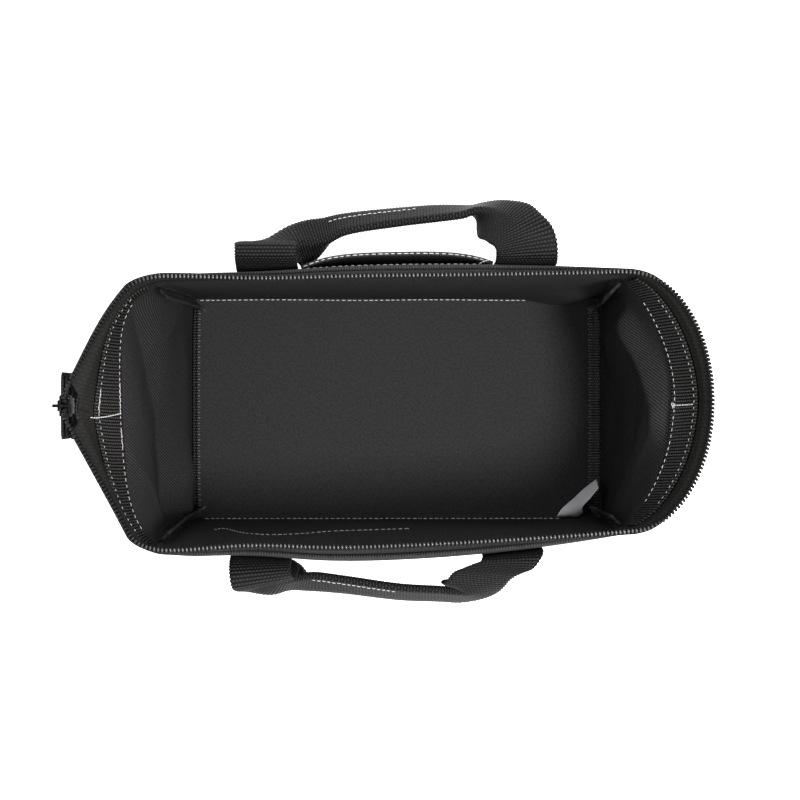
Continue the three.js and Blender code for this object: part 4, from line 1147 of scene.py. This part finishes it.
def grip_stitches(name, shape, sign, first_x, last_x, from_crest):
    """The line along a folded grip, through both its layers, on the side away from the bag."""
    thread = Threads(name)
    legs_out = 98
    sides = []
    for half in (-1, 1):
        column = int(np.argmin(np.abs(shape["place"] - half * from_crest)))
        for face, way in (("front", 1), ("back", -1)):
            path, out = shape[face][:, column], shape["normal"][:, column] * way
            keep = (path[:, 0] > first_x) & (path[:, 0] < last_x) & (np.abs(path[:, 1]) > legs_out)
            sides.append((path[keep], out[keep]))
    outer, facing = max(sides, key=lambda side: np.mean(side[0][:, 1]) * sign)
    thread.line(outer, facing, "grip")
    return thread.sewn("webbing")


# Build

floor = floor_panel()
wall_far = wall("wall_far", "side_panel_far", 0, 1, corners=True)
wall_near = wall("wall_near", "side_panel_near", 2, 3, corners=True)
end_right = wall("end_right", "end_panel_right", 1, 2, corners=False)
end_left = wall("end_left", "end_panel_left", 3, 4, corners=False)
binding_right = binding("binding_right", "seam_binding_right", 1, 2, slope=0.3, reach=5.75)
binding_left = binding("binding_left", "seam_binding_left", 3, 4, slope=0.95, reach=BINDING_WIDTH / 2)
band_right = band("band_right", "end_band_right", 1, 2)
band_left = band("band_left", "end_band_left", 3, 4)
tape_far = zip_tape("mouth_tape_far", "zip_tape_far", -0.499, 1.4999)
tape_near = zip_tape("mouth_tape_near", "zip_tape_near", 1.5001, 3.499)
coil_far = zip_coil("wound_coil_far", "zip_coil_far",
                    (*np.linspace(-0.43, 1, 23), *np.linspace(1.06, 1.4992, 9)), 1)
coil_near = zip_coil("wound_coil_near", "zip_coil_near",
                     (*np.linspace(3.43, 2, 23), *np.linspace(1.94, 1.5008, 9)), -1)
tail_tape, tail_coil = zip_tail()
tab = end_tab()
cast_copy("cast_slider", "zip_slider", rounding=0.22, body="bag")
cast_copy("cast_pull", "zip_pull", rounding=0.3, body="pull")
far_strap = handle_shape(FAR, 1, left=-81.5, right=80.5, loose=HANDLE_FAR)
near_strap = handle_shape(NEAR, -1, left=-85.5, right=72.5, loose=HANDLE_NEAR)
handle_far = strap("strap_handle_far", far_strap, WEBBING_LOOK, "webbing", "handle_far")
handle_near = strap("strap_handle_near", near_strap, WEBBING_LOOK, "webbing", "handle_near")
pocket_far = pocket()
label = care_label()
sewn_floor = floor_stitches()
sewn_wall = wall_stitches()
sewn_pocket = pocket_stitches()
sewn_left = band_stitches("stitches_band_left", 3, start=0.16, end=0.85, bar=0.493, bar_top=0.925,
                          tilt=0.01, doubled=DOUBLED_LEFT)
sewn_right = band_stitches("stitches_band_right", 1, start=0.2, end=0.8, bar=0.506, bar_top=BAND_SEAM_TOP,
                           tilt=0, doubled=KNOT_RIGHT)
sewn_far = grip_stitches("stitches_grip_far", far_strap, 1, first_x=-43.5, last_x=14, from_crest=13.8)
sewn_near = grip_stitches("stitches_grip_near", near_strap, -1, first_x=-54, last_x=0, from_crest=3.0)

# Stage: paper, soft light from above, and a camera looking straight down

bpy.ops.mesh.primitive_plane_add(size=PAPER_SIZE, location=(0, 0, -PAPER_DROP * MM))
paper = bpy.context.object
paper.name = "studio_paper"
paper.data.materials.append(seamless_paper())


def softbox(name, place, size, power):
    """A round soft light in that place, turned to the middle of the bag."""
    light = bpy.data.lights.new(name, "AREA")
    light.shape, light.size, light.energy = "DISK", size, power
    lamp = bpy.data.objects.new(name, light)
    bpy.context.scene.collection.objects.link(lamp)
    lamp.location = place
    lamp.rotation_euler = Vector(place).to_track_quat("Z", "Y").to_euler()


softbox("top_softbox", place=(0.76, -0.34, 2.25), size=0.5, power=74)
world = bpy.data.worlds.new("studio")
bpy.context.scene.world = world
world.use_nodes = True
world.node_tree.nodes["Background"].inputs["Color"].default_value = (1, 1, 1, 1)
world.node_tree.nodes["Background"].inputs["Strength"].default_value = ROOM_LIGHT
bpy.context.scene.view_settings.view_transform = "Standard"

CAMERA_PLACE = (1.8, 6.4, 1200.0)
CAMERA_SENSOR = 36
CAMERA_LENS = 73.44
camera = bpy.data.objects.new("camera", bpy.data.cameras.new("camera"))
bpy.context.scene.collection.objects.link(camera)
camera.location = [v * MM for v in CAMERA_PLACE]
camera.data.sensor_width = CAMERA_SENSOR
camera.data.lens = CAMERA_LENS
bpy.context.scene.camera = camera
